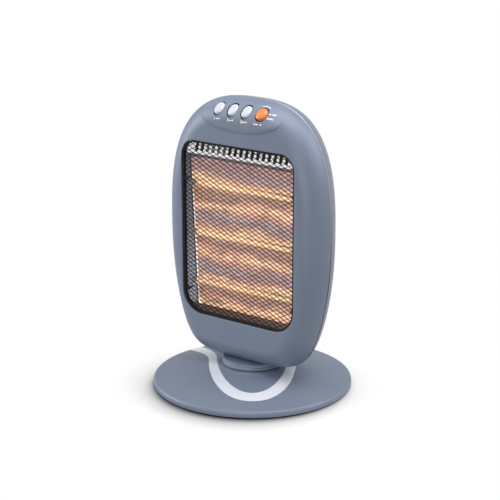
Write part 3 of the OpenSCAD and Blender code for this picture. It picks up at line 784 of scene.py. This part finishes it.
def screw_posts(shell):
    """Deep round holes to the four screws, each with a tube behind it."""
    places = [(side * (SCREW_HALF - step_in), z)
              for z, step_in in zip(SCREW_Z, (0, LOW_STEP_IN)) for side in (1, -1)]
    posts = []
    for x, z in places:
        carve(shell, cylinder(POST_HOLE * MM, 60 * MM, (x, 36 * MM, z), "Y", 32))
        posts.append(lathe([(POST_R, POST_FROM), (POST_R, POST_TO), (POST_HOLE, POST_TO),
                            (POST_HOLE, POST_FROM)], 32, "Y", (x, 0, z)))
    tubes = join(posts)
    carve(tubes, loft(back_rings(0.4 * MM), True, True), "INTERSECT")
    return join([shell, tubes])

def make_back_shell():
    shell = loft(back_rings(), close_last=True)
    thicken(shell, WALL)
    slots = [upright_prism(rounded(VENT_W, VENT_H, VENT_H / 2 - 0.1 * MM), VENT_X * c,
                           VENT_Z + VENT_PITCH * k, 40 * MM, 60 * MM)
             for k in range(VENT_ROWS) for c in (-1, 0, 1)]
    carve(shell, join(slots))
    grip_z = (GRIP[0][2] + GRIP[1][2]) / 2
    w, h = (GRIP[1][k] - GRIP[0][k] - 2 * GRIP_FLANGE for k in (0, 2))
    carve(shell, upright_prism(rounded(w, h, GRIP_CORNER), 0, grip_z, 30 * MM, 60 * MM))
    gx, gz = (GLAND[0][0] + GLAND[1][0]) / 2, (GLAND[0][2] + GLAND[1][2]) / 2
    carve(shell, cylinder(GLAND_HOLE, 20 * MM, (gx, 50 * MM, gz), "Y"))
    carve(shell, collar_hole(), solver="FAST")
    return screw_posts(shell)

done(make_back_shell(), "back_shell_skin", "head", back_paint, ("back_shell",), 28)

# %% [markdown]
# ## Control panel
# The lens-shaped pad stands two millimetres out of the shoulder at its lower edge, rolls over at
# the rim and fades into the shell towards the top. It is drawn as rings that shrink towards the
# middle, each point laid on the shell and lifted. Then it gets its wall and the rocker holes.

# %% Control panel
WHITE_X = [-32 * MM, -8.8 * MM, 14 * MM]
ORANGE_X = 38.3 * MM
ROCK = {name: (x, 14.5 * MM, 19.2 * MM) for name, x in zip(("low", "medium", "high"), WHITE_X)}
ROCK["swing"] = (ORANGE_X, 15.9 * MM, 18.8 * MM)
SIDE_GAP = 0.6 * MM
END_GAP = 2.0 * MM
CAP_DOWN = -0.4 * MM
HOLE_UP = 0.35 * MM
OVAL = 2.35

def oval(w, l, sides=48):
    """Points of a full oval, a little squarer than an ellipse."""
    return [(w / 2 * u, l / 2 * v) for u, v in squarish(OVAL, sides)]

def on_pad(x, up, out=0.0):
    return on_panel(x, up, shell_level(x, up) + pad_lift(x, up) + out)

def make_panel():
    shares = [1, 0.995, 0.985, 0.97, 0.95, 0.925, 0.9, 0.86, 0.8, 0.72, 0.62, 0.5, 0.36, 0.22, 0.1]
    rings = [[on_pad(x, up) for x, up in lens_ring(s)] for s in shares]
    pad = loft(rings, close_last=True)
    thicken(pad, 1.6 * MM)
    for x, w, l in ROCK.values():
        hole = moved(oval(w + 2 * SIDE_GAP, l + 2 * END_GAP), x, HOLE_UP)
        carve(pad, prism(hole, -20 * MM, 20 * MM))
    return pad

done(make_panel(), "control_panel_skin", "head", panel_paint,
     ("control_panel",), 28)

# %% [markdown]
# Each rocker sits in a dark well. A real one is a moulded box under the panel. Only its mouth is
# ever seen, so a thin sleeve that follows the hole is enough, and it shows the gap round the cap.

# %% Rocker wells
def make_well(x, w, l):
    """A thin dark sleeve that lines the hole of one rocker."""
    rings = []
    for out, grow in ((-0.45, 0.0), (-12, 0.0), (-12, -0.25), (-0.45, -0.25)):
        edge = oval(w + 2 * (SIDE_GAP + grow * MM), l + 2 * (END_GAP + grow * MM))
        laid = on_pad if out > -1 else on_panel
        rings.append([laid(u, v, out * MM) for u, v in moved(edge, x, HOLE_UP)])
    return hoop(rings)

wells = join([make_well(*rock) for rock in ROCK.values()])
done(wells, "rocker_wells", "head", black_plastic)

# %% [markdown]
# ## Rockers
# Each cap is a pillow with round ends that turns on a pin below the panel. It is modelled level,
# ring by ring from its skirt up to its crown, and then tipped ten degrees about the pin, so its
# lower end stands up and its upper end is sunk in the hole.

# %% Rockers
PIN_DEPTH = -5.6 * MM
REST_TIP = math.radians(-10)
CAP = [(-7.6, 0.25), (-6.5, 0), (-0.6, 0), (0.3, 0.2), (1.0, 0.65), (1.55, 1.4), (1.95, 2.5),
       (2.2, 3.8), (2.35, 5.2), (2.4, 6.4)]

def make_rocker(x, w, l):
    c, s = math.cos(REST_TIP), math.sin(REST_TIP)
    rings = []
    for out, inset in CAP:
        h = out * MM - PIN_DEPTH
        ring = moved(oval(w - 2 * inset * MM, l - 2 * inset * MM), x, CAP_DOWN)
        rings.append([on_panel(u, v * c - h * s, PIN_DEPTH + v * s + h * c) for u, v in ring])
    return loft(rings, True, True)

for name, (x, w, l) in ROCK.items():
    orange = name == "swing"
    done(make_rocker(x, w, l), "rocker_" + name + "_cap", name + "_switch",
         rocker_orange if orange else rocker_white,
         ("rocker_" + name,), 40)

# %% [markdown]
# The marks beside the rockers are printed in white ink. They are plain heat steps, a level arc
# for the swing, and ON and OFF. Each is a letter or curve with a hair of thickness, whose points
# are laid on the pad one by one, so it follows the curve of the panel.

# %% Printed marks
INK = 0.05 * MM

def lay(obj, x, up):
    """Lays a flat mark on the pad point by point, its underside a hair above the surface."""
    settle(obj)
    for v in obj.data.vertices:
        v.co = on_pad(x + v.co.x, up + v.co.y, INK * (0.4 + (v.co.z > 0)))
    return obj

def word(text, x, up, size):
    obj = add(bpy.ops.object.text_add)
    obj.data.body = text
    obj.data.size = size
    obj.data.align_x = "CENTER"
    obj.data.align_y = "CENTER"
    obj.data.extrude = INK
    obj.data.offset = 0.07 * MM
    alone(obj)
    bpy.ops.object.convert(target="MESH")
    return lay(bpy.context.object, x, up)

def dot(x, up, radius):
    return lay(cylinder(radius, 2 * INK, (0, 0, 0), sides=20), x, up)

def bar(x, up, w, h):
    obj = add(bpy.ops.mesh.primitive_cube_add, size=1, scale=(w, h, 2 * INK))
    settle(obj)
    in_edit(obj, lambda: bpy.ops.mesh.subdivide(number_cuts=5))
    return lay(obj, x, up)

def arc_mark(x, up, radius, half_turn, width, steps=14):
    rings = []
    for k in range(steps + 1):
        a = math.radians(half_turn * (2 * k / steps - 1))
        rings.append([Vector((radius * rr * math.sin(a), radius * (rr * math.cos(a) - 1), z))
                      for rr, z in ((1 - width, -INK), (1 + width, -INK), (1 + width, INK),
                                    (1 - width, INK))])
    return lay(loft(rings, True, True), x, up)

MARK_UP = -14.6 * MM
marks = []
for k, x in enumerate(WHITE_X):
    marks.append(word("I" * (k + 1), x - 3.0 * MM, MARK_UP, 4.6 * MM))
    marks.append(bar(x + 1.0 * MM, MARK_UP, 3.0 * MM, 1.0 * MM))
    marks.append(dot(x + 4.6 * MM, MARK_UP + 0.3 * MM, 1.0 * MM))
marks.append(bar(ORANGE_X - 4 * MM, MARK_UP, 7.5 * MM, 1.0 * MM))
marks.append(dot(ORANGE_X + 3.6 * MM, MARK_UP + 0.3 * MM, 1.05 * MM))
marks.append(arc_mark(ORANGE_X + 0.5 * MM, 14.9 * MM, 9 * MM, 40, 0.045))
marks.append(word("OFF", ORANGE_X + 16.2 * MM, 3.4 * MM, 3.9 * MM))
marks.append(word("ON", ORANGE_X + 15.4 * MM, -3.8 * MM, 3.9 * MM))
marks.append(dot(ORANGE_X + 11.0 * MM, 3.2 * MM, 1.1 * MM))
marks.append(dot(ORANGE_X + 10.8 * MM, -4.0 * MM, 1.1 * MM))
print("marks:", len(marks))
# the marks' white ink carries a faint painted glow
done(join(marks), "panel_marks", "head", white_ink_painted_glow, (), 60)

# %% [markdown]
# ## Guard
# The guard is expanded sheet: thin strands that cross in long diamonds, about twelve millimetres
# wide and six high. One strand is a thin box laid at the slope of the diamonds. An array repeats
# it across the window, planes cut the row to the window's outline, and the second family leans
# the other way. A box of four long faces is enough for a strand about a millimetre thick.

# %% Guard net
CELL_W = 12.0 * MM
CELL_H = 6.2 * MM
STRAND = 0.85 * MM
STRAND_DEPTH = 1.0 * MM
NET_Y = -33.0 * MM
NET_EDGE = 3.2 * MM

def trim_to(obj, outline):
    """Cuts away what lies outside a closed convex outline in the plane of the window."""
    for a, b in zip(outline, outline[1:] + outline[:1]):
        way = b - a
        if way.length > 1e-6:
            out = Vector((way.z, 0, -way.x)).normalized()
            in_edit(obj, lambda: bpy.ops.mesh.bisect(plane_co=a, plane_no=out, use_fill=True,
                                                     clear_outer=True))

def strands(lean):
    slope = math.atan2(CELL_H, CELL_W)
    tall = 2 * WIN_REACH
    wide = 2 * WIN_HALF
    run = tall * CELL_W / CELL_H
    length = math.hypot(run, tall) + 20 * MM
    count = int((wide + run) / CELL_W) + 3
    start = -(count - 1) / 2 * CELL_W
    obj = add(bpy.ops.mesh.primitive_cube_add, size=1, scale=(length, STRAND_DEPTH, STRAND),
              location=(start, NET_Y, WIN_Z), rotation=(0, lean * slope, 0))
    settle(obj)
    row = obj.modifiers.new("row", "ARRAY")
    row.use_relative_offset = False
    row.use_constant_offset = True
    row.constant_offset_displace = (CELL_W, 0, 0)
    row.count = count
    apply_all(obj)
    trim_to(obj, window(NET_Y, NET_EDGE, 6))
    return obj

net = join([strands(1), strands(-1)])
done(net, "guard_net_strands", "head", black_enamel, ("guard_net",), 30)

# %% [markdown]
# A black rim holds the mesh in the window. Its section is drawn once, as pairs of depth and
# distance from the window's edge, and each pair becomes one ring round the window.

# %% Guard frame
def make_frame():
    section = [(-35.4, 0.4), (-35.5, 0.7), (-35.5, 2.3), (-35.2, 2.9), (-34.6, 3.3), (-30.2, 3.3),
               (-30.0, 3.1), (-30.0, 0.5), (-30.3, 0.3), (-35.1, 0.3)]
    return hoop([window(y * MM, g * MM) for y, g in section])

done(make_frame(), "guard_frame_ring", "head", black_enamel, ("guard_frame",), 35)

# %% [markdown]
# Four small screws hold the rim. A screw is a turned part, so head and shank are one section
# turned round an axis that points into the head.

# %% Guard screws
GUARD_SCREWS = [(-0.0893, 0.290), (0.0926, 0.290), (-0.0866, 0.132), (0.0926, 0.132)]

def make_guard_screws():
    section = [(0.02, -35.3), (1.1, -35.25), (2.2, -34.9), (2.8, -34.4), (3.1, -34.2), (3.1, -33.8),
               (0.9, -33.7), (0.9, -26.2), (0.02, -26.0)]
    return join([lathe(section, 24, "Y", (x, 0, z)) for x, z in GUARD_SCREWS])

done(make_guard_screws(), "guard_screw_heads", "head", black_enamel,
     ("guard_screws",), 35)

# %% [markdown]
# ## Reflector
# Behind the guard lies a tray of bright sheet. Its side walls lean inwards to a fold that runs
# deeper towards the bottom, and its back swells forward between the lamps, so that each lamp
# lies in a trough. The walls are drawn ring by ring, the back is a grid whose points are pushed
# out into the ridges, and both get the thickness of the sheet.

# %% Reflector tray
TRAY_FRONT = -29.0
TRAY_BACK = -13.0
TRAY_X = 91.5
TRAY_LOW = 101.0
TRAY_HIGH = 325.0
BACK_HALF, BACK_LOW, BACK_HIGH = 84.0, 105.2, 308.0
RIDGE = 4.0
SHEET = 0.8 * MM

def fold_depth(z):
    """How deep the fold of the tray's walls lies at a height, all in millimetres."""
    down = min(1.0, max(0.0, (FOLD_HIGH - z) / (FOLD_HIGH - FOLD_LOW)))
    return FOLD_HIGH_Y + (FOLD_LOW_Y - FOLD_HIGH_Y) * down

def fold_ring():
    """The fold itself, which also runs inwards as it gets deeper."""
    ring = []
    for p in tray_ring(88, 104.2, 322, 2, fold_depth):
        inwards = 3.4 * (fold_depth(p.z / MM) - FOLD_HIGH_Y) / (FOLD_LOW_Y - FOLD_HIGH_Y)
        ring.append(Vector((math.copysign(88.9 - inwards, p.x) * MM, p.y, p.z)))
    return ring

def tray_ring(half, low, high, corner, depth):
    mid = (low + high) / 2
    return [Vector((x, depth(mid + z) if callable(depth) else depth, mid + z)) * MM
            for x, z in rounded(2 * half, high - low, corner, 5)]

def face_forward(obj):
    """Turns a sheet's faces so that most of them look out of the window."""
    if sum(f.normal.y * f.area for f in obj.data.polygons) > 0:
        in_edit(obj, bpy.ops.mesh.flip_normals)

def make_tray():
    walls = loft([tray_ring(92.5, 99.5, 326.2, 3, TRAY_FRONT),
                  tray_ring(TRAY_X, TRAY_LOW, TRAY_HIGH, 2.5, TRAY_FRONT),
                  tray_ring(91.1, 101.2, 324.6, 2.5, TRAY_FRONT + 0.5), fold_ring(),
                  tray_ring(BACK_HALF, BACK_LOW, BACK_HIGH, 2, TRAY_BACK)])
    back = add(bpy.ops.mesh.primitive_grid_add, x_subdivisions=24, y_subdivisions=64, size=1,
               location=(0, TRAY_BACK * MM, (BACK_LOW + BACK_HIGH) / 2 * MM),
               rotation=(math.pi / 2, 0, 0))
    back.scale = (2 * BACK_HALF * MM, (BACK_HIGH - BACK_LOW) * MM, 1)
    settle(back)
    for v in back.data.vertices:
        x, z = v.co.x / MM, v.co.z / MM
        wave = math.cos(2 * math.pi * (v.co.z - LAMP_Z[1]) / LAMP_PITCH)
        room = min(8.0, BACK_HALF - abs(x), z - BACK_LOW, BACK_HIGH - z) / 8
        if LAMP_Z[2] < v.co.z < LAMP_Z[0]:
            v.co.y -= RIDGE * MM * (1 - wave) / 2 * max(0.0, room)
    for sheet in (walls, back):
        face_forward(sheet)
        thicken(sheet, SHEET)
    for z in LAMP_Z:
        carve(walls, cylinder(5.6 * MM, 240 * MM, (0, LAMP_Y, z), "X", 32))
    return join([walls, back])

done(make_tray(), "reflector_tray", "head", mirror_sheet, ("reflector",), 25)

# %% [markdown]
# Above the tray a white strip with a row of upright slots leans back, so that air can rise past
# it. The strip glows faintly, which is painted light. One slot is cut with a rounded prism that is
# repeated along the strip. A dark board stands a little way behind it as painted shade seen
# through the slots.

# %% Slotted strip
SLOTS = 17
SLOT_PITCH = 9.5
SLOT_W = 5.9
STRIP_LEAN = math.radians(18)

def on_strip(x, up, out):
    """A point of the leaning strip, in millimetres along, up and behind its front."""
    c, s = math.cos(STRIP_LEAN), math.sin(STRIP_LEAN)
    return Vector((x, TRAY_FRONT + up * s + out * c, 326.6 + up * c - out * s)) * MM

def plate_on_strip(outline, front, back):
    return loft([[on_strip(x, up, out) for x, up in outline] for out in (front, back)], True, True)

def make_strip():
    strip = plate_on_strip(moved(rounded(2 * TRAY_X, 26, 1.0, 4), 0, 12.6), 0, 0.8)
    slot = rounded(SLOT_W, 22, SLOT_W / 2 - 0.05, 6)
    places = [SLOT_PITCH * (k - (SLOTS - 1) / 2) for k in range(SLOTS)]
    carve(strip, join([plate_on_strip(moved(slot, x, 14.2), -2, 3) for x in places]))
    return strip

done(make_strip(), "slotted_strip", "head", strip_paint_painted_glow, (), 30)
board = plate_on_strip(moved(rounded(2 * TRAY_X - 2, 25, 1.0, 3), 0, 12.5), 3.6, 4.4)
done(board, "shade_board_behind_slots", "head", slot_shade, (), 30)

# %% [markdown]
# ## Lamps
# Each lamp is a quartz tube with a wound coil that small rings hold in the middle. The winding is
# a small circle swept up and round by the Screw modifier. It is made once, and each lamp gets a
# copy with its own mesh.

# %% Tubes and coils
TUBE_HALF = 91.5
TUBE_R = 5.0
TUBE_WALL = 1.0
COIL_R = 1.25 * MM
COIL_PITCH = 2.0 * MM
COIL_TURNS = 78
HOLDER_PITCH = 19 * MM

def make_tube(z):
    r, half = TUBE_R, TUBE_HALF
    section = [(r - 0.5, -half), (r, -half + 0.6), (r, half - 0.6), (r - 0.5, half),
               (r - TUBE_WALL, half), (r - TUBE_WALL, -half)]
    return lathe(section, 48, "X", (0, LAMP_Y, z))

def make_winding():
    coil = add(bpy.ops.mesh.primitive_circle_add, vertices=6, radius=0.42 * MM,
               location=(COIL_R, 0, 0), rotation=(math.pi / 2, 0, 0))
    settle(coil)
    wind = coil.modifiers.new("wind", "SCREW")
    wind.axis = "Z"
    wind.angle = 2 * math.pi
    wind.screw_offset = COIL_PITCH
    wind.iterations = COIL_TURNS
    wind.steps = wind.render_steps = 12
    wind.use_smooth_shade = True
    apply_all(coil)
    alone(coil)
    bpy.ops.transform.translate(value=(0, 0, -COIL_TURNS * COIL_PITCH / 2))
    settle(coil)
    alone(coil)
    bpy.ops.transform.rotate(value=math.pi / 2, orient_axis="Y", center_override=(0, 0, 0))
    settle(coil)
    in_edit(coil, face_outwards)
    rings = [add(bpy.ops.mesh.primitive_torus_add, location=(HOLDER_PITCH * k, 0, 0),
                 rotation=(0, math.pi / 2, 0), major_radius=2.6 * MM, minor_radius=0.35 * MM,
                 major_segments=20, minor_segments=6) for k in range(-4, 5)]
    return join([coil] + rings)

winding = make_winding()
settle(winding)
for level, z in zip(("top", "middle", "bottom"), LAMP_Z):
    done(make_tube(z), "lamp_" + level + "_tube", "head", quartz, ("lamp_" + level,), 40)
    coil = winding.copy()
    coil.data = winding.data.copy()
    bpy.context.collection.objects.link(coil)
    coil.location = (0, LAMP_Y, z)
    done(coil, "coil_" + level + "_winding", "head", hot_coil,
         ("coil_" + level,), 60)
bpy.data.objects.remove(winding)
print("lamps at", LAMP_Z)

# %% [markdown]
# ## Foot
# The foot is a shallow cone with a softly rounded rim, turned like a bowl on a lathe. The silver
# band is let into it. Its plan is an arch in front with two legs that flare out to the rim behind.
# The plan is drawn once. Grown by a hair and cut down into the cover it leaves the groove, and
# cut out of a thin turned layer it gives the band itself, which so follows the cone exactly.

# %% Foot cover
CONE_SLOPE = 19 / 87.5
BAND_DEPTH = 1.2
BASE_TURN = math.radians(37)
STOP_R = 35
PIN_TURN = math.radians(-150)
RIB_TURNS = (math.radians(-142.8), math.radians(-231.2))

def cover_line(inset=0.0):
    """The cover's surface from the boss to the floor, as radius and height."""
    line = [(47.0, 30 - inset), (47.5, 29.9 - inset), (48.2, 29.4 - inset)]
    run = 88.2 - 0.3 * inset
    line += [(48.2 + run * k / 8, 29.4 - run * k / 8 * CONE_SLOPE - inset) for k in range(1, 9)]
    for a in (70, 58, 46, 34, 22, 11, 0):
        t = math.radians(a)
        line.append((135.5 + (4.5 - inset) * math.cos(t), 6 + (4.5 - inset) * math.sin(t)))
    return line + [(140 - inset, 2.0)]

def half_band(half, reach_on, mid, flare, power):
    """Half of the arch: a leg that flares out behind, then a quarter of a full oval in front."""
    out = [(half + flare * ((y - mid) / 60) ** 1.7, y)
           for y in [130 - 100 * k / 12 for k in range(13)]]
    for a in range(90, -1, -3):
        x = half * math.sin(math.radians(a))
        out.append((x, mid - reach_on * (1 - (x / half) ** power) ** (1 / power)))
    return out

def pillar(plan, low, high):
    """An upright solid on a plan in millimetres."""
    return loft([[Vector((x, y, z)) * MM for x, y in plan] for z in (low, high)], True, True)

def band_prism(grow=0.0):
    outer = half_band(62 + grow, 128 + grow, 15, 16.5, 2.2)
    inner = half_band(50.5 - grow, 114 - grow, 20, 12.045, 2)
    plan = outer + [(-x, y) for x, y in outer[-2::-1]]
    plan += [(-x, y) for x, y in inner] + inner[-2::-1]
    return pillar(turned(plan, BASE_TURN), 2.6, 45)

def make_cover():
    cover = lathe([(12.4, 30.0)] + cover_line() + cover_line(2.5)[::-1] + [(12.4, 27.5)])
    above = lathe([(20, 28.8)] + cover_line(BAND_DEPTH) + [(141.5, 2.0), (141.5, 44), (20, 44)])
    carve(above, band_prism(0.2), "INTERSECT")
    carve(cover, above)
    stop_pin = lathe([(0.02, 29), (2.5, 29), (2.5, 34.6), (2.1, 35), (0.02, 35)], 32, "Z",
                     (STOP_R * math.cos(PIN_TURN) * MM, STOP_R * math.sin(PIN_TURN) * MM, 0))
    return join([cover, stop_pin])

def make_band():
    band = lathe([(20, 30.0)] + cover_line() + cover_line(BAND_DEPTH - 0.05)[::-1] + [(20, 28.85)])
    carve(band, band_prism(), "INTERSECT")
    return band

done(make_cover(), "base_cover_skin", "foot", foot_paint_painted_shade, ("base_cover",), 30)
done(make_band(), "base_inlay_band", "foot", silver_band, ("base_inlay",), 30)

# %% [markdown]
# ## Turntable collar
# The collar is a low drum under the head. Its lower edge stands out as a thin lip that catches
# the light. Inside it has a sleeve round the post and two stop ribs.

# %% Collar
def make_collar():
    section = [(43, 31.4), (43, 33.9), (42.7, 34.3), (42.1, 34.5), (41.7, 34.9), (41.6, 35.5),
               (41.6, 38.5), (41.2, 39), (16, 39), (16, 52.1), (15.6, 52.5), (12.3, 52.5),
               (12.3, 31.4), (16, 31.4), (16, 36), (40, 36), (40, 31.4)]
    rib = moved(rounded(12, 3, 0.5, 4), STOP_R, 0)
    ribs = [pillar(turned(rib, a), 31.4, 36.2) for a in RIB_TURNS]
    return join([lathe(section, 192)] + ribs)

done(make_collar(), "turntable_collar_skin", "head", shell_paint,
     ("turntable_collar",), 30)

# %% [markdown]
# ## Smooth copies and plain solids
# Eleven inner parts keep their own solid and only get a finish. The others are rounder, so they
# get a smooth copy.

# %% Solids that stay or are copied
KEEP = {
    "base_plate": black_enamel, "base_weight": casting, "tipover_switch": black_plastic,
    "tipover_spring": spring_steel, "swivel_plate": plated, "lamp_clips": spring_steel,
    "heat_shield": plated, "switch_bank": black_plastic, "motor_bracket": plated,
    "terminal_block": nylon, "drive_gear": nylon,
}
ZINC = ("zinc_steel", plated)
NYLON = ("natural_nylon", nylon)
BLACK = ("black_plastic", black_plastic)
COPY = {
    "base_feet": ("foot", "foot_rubber", rubber), "base_screws": ("foot", *ZINC),
    "swivel_post": ("foot", *ZINC), "thrust_washer": ("foot", *NYLON), "post_ring": ("foot", *ZINC),
    "tipover_plunger": ("plunger", *NYLON), "shell_screws": ("head", *ZINC),
    "lamp_caps": ("head", "white_ceramic", steatite), "thermal_cutout": ("head", *BLACK),
    "swing_motor": ("head", *ZINC), "drive_pinion": ("pinion", *NYLON),
    "inlet_gland": ("head", *BLACK), "wiring": ("head", "wire_sleeve", sleeving),
    "grip_cup": ("head", *BLACK),
}
for name, finish in KEEP.items():
    nodes[name].data.materials.clear()
    nodes[name].data.materials.append(finish)
for name, (body, slot, finish) in COPY.items():
    smooth_copy(name, body, finish)
print("kept", len(KEEP), "copied", len(COPY))

# %% [markdown]
# ## Floor and light
# The photograph is a cut-out on white with a soft dark shadow hugging the foot. The floor is
# white and takes the shadow close by, helped by two painted rings of shade that are pushed a
# little towards the front. Further out it fades to plain white for the camera, so that no edge
# shows.

# %% Floor
FOOT_R = 0.14
FLOOR_TONE = 0.8
TO_FRONT = math.radians(286)
FADE_AT = (0.014, -0.026, 0)
FADE_FROM, FADE_TO = 0.13, 0.21
WIDE_SHADE = [(-0.036, 0.45), (-0.026, 0.53), (-0.016, 0.69), (-0.006, 0.80), (0.004, 0.90),
              (0.014, 0.96), (0.024, 1.0)]
TIGHT_SHADE = [(-0.009, 0.15), (-0.006, 0.33), (-0.003, 0.53), (0.001, 0.8), (0.006, 0.95),
               (0.012, 1.0)]

def make_floor():
    floor = add(bpy.ops.mesh.primitive_plane_add, size=40)
    floor.name = "floor"
    mat, nt, bsdf, coord = node_tree("white_floor")
    bsdf.inputs["Roughness"].default_value = 0.9
    x, y, _ = xyz(nt, coord)

    def round_foot(shift, stops):
        """A soft ring of shade, darkest under the foot's rim and pushed towards the front."""
        u = minus(nt, x, shift * math.cos(TO_FRONT))
        v = minus(nt, y, shift * math.sin(TO_FRONT))
        r = math_node(nt, "SQRT", math_node(nt, "ADD", times(nt, u, u), times(nt, v, v)))
        room = stretch_to(nt, minus(nt, r, FOOT_R), -0.04, 0.03)
        return ramp(nt, room, [((at + 0.04) / 0.07, (k, k, k)) for at, k in stops])

    shadow = times(nt, round_foot(0.036, WIDE_SHADE), round_foot(0.009, TIGHT_SHADE))
    level = times(nt, shadow, FLOOR_TONE)
    tone = nt.nodes.new("ShaderNodeCombineColor")
    for k in range(3):
        nt.links.new(level, tone.inputs[k])
    nt.links.new(tone.outputs[0], bsdf.inputs["Base Color"])
    rays = nt.nodes.new("ShaderNodeLightPath").outputs
    seen = math_node(nt, "MAXIMUM", rays["Is Camera Ray"], math_node(
        nt, "MAXIMUM", rays["Is Glossy Ray"], rays["Is Transmission Ray"]))
    white = nt.nodes.new("ShaderNodeEmission")
    nt.links.new(seen, white.inputs["Strength"])
    dist = nt.nodes.new("ShaderNodeVectorMath")
    dist.operation = "DISTANCE"
    nt.links.new(coord.outputs["Object"], dist.inputs[0])
    dist.inputs[1].default_value = FADE_AT
    fade = stretch_to(nt, dist.outputs["Value"], FADE_FROM, FADE_TO)
    fade.node.interpolation_type = "SMOOTHSTEP"
    mix = nt.nodes.new("ShaderNodeMixShader")
    for k, socket in enumerate((fade, bsdf.outputs[0], white.outputs[0])):
        nt.links.new(socket, mix.inputs[k])
    out = next(n for n in nt.nodes if n.type == "OUTPUT_MATERIAL")
    nt.links.new(mix.outputs[0], out.inputs["Surface"])
    floor.data.materials.append(mat)

make_floor()

# %% [markdown]
# The light is that of a studio: a white room, one large soft lamp overhead, one at each side and
# a weak one low in front. Soft lamps are large rectangles, so their shadows have wide edges. The
# room is dimmer for the heater than for the camera, which sees plain white behind everything.

# %% World and lamps
def make_world():
    world = bpy.data.worlds.new("studio")
    bpy.context.scene.world = world
    world.use_nodes = True
    nt = world.node_tree
    bg = nt.nodes["Background"]
    seen = nt.nodes.new("ShaderNodeLightPath").outputs["Is Camera Ray"]
    nt.links.new(stretch_to(nt, seen, 0.0, 1.0, 0.55, 1.0), bg.inputs["Strength"])
    bg.inputs["Color"].default_value = (1, 1, 1, 1)

def make_lamp(name, place, target, size, power):
    light = bpy.data.lights.new(name, "AREA")
    light.energy = power
    light.shape = "RECTANGLE"
    light.size, light.size_y = size
    obj = bpy.data.objects.new(name, light)
    bpy.context.collection.objects.link(obj)
    obj.location = place
    way = Vector(target) - Vector(place)
    obj.rotation_euler = way.to_track_quat("-Z", "Y").to_euler()

make_world()
make_lamp("top_softbox", (0.25, 0.0, 1.9), (0, 0, 0.2), (1.1, 1.1), 19)
make_lamp("left_softbox", (-1.75, -0.8, 0.75), (0, 0, 0.22), (0.9, 1.4), 21)
make_lamp("right_softbox", (1.4, 0.8, 1.3), (0, 0, 0.2), (0.9, 1.4), 15)
make_lamp("front_fill", (0.9, -1.7, 0.35), (0, 0, 0.18), (0.8, 0.8), 9)
bpy.context.scene.view_settings.view_transform = "Standard"
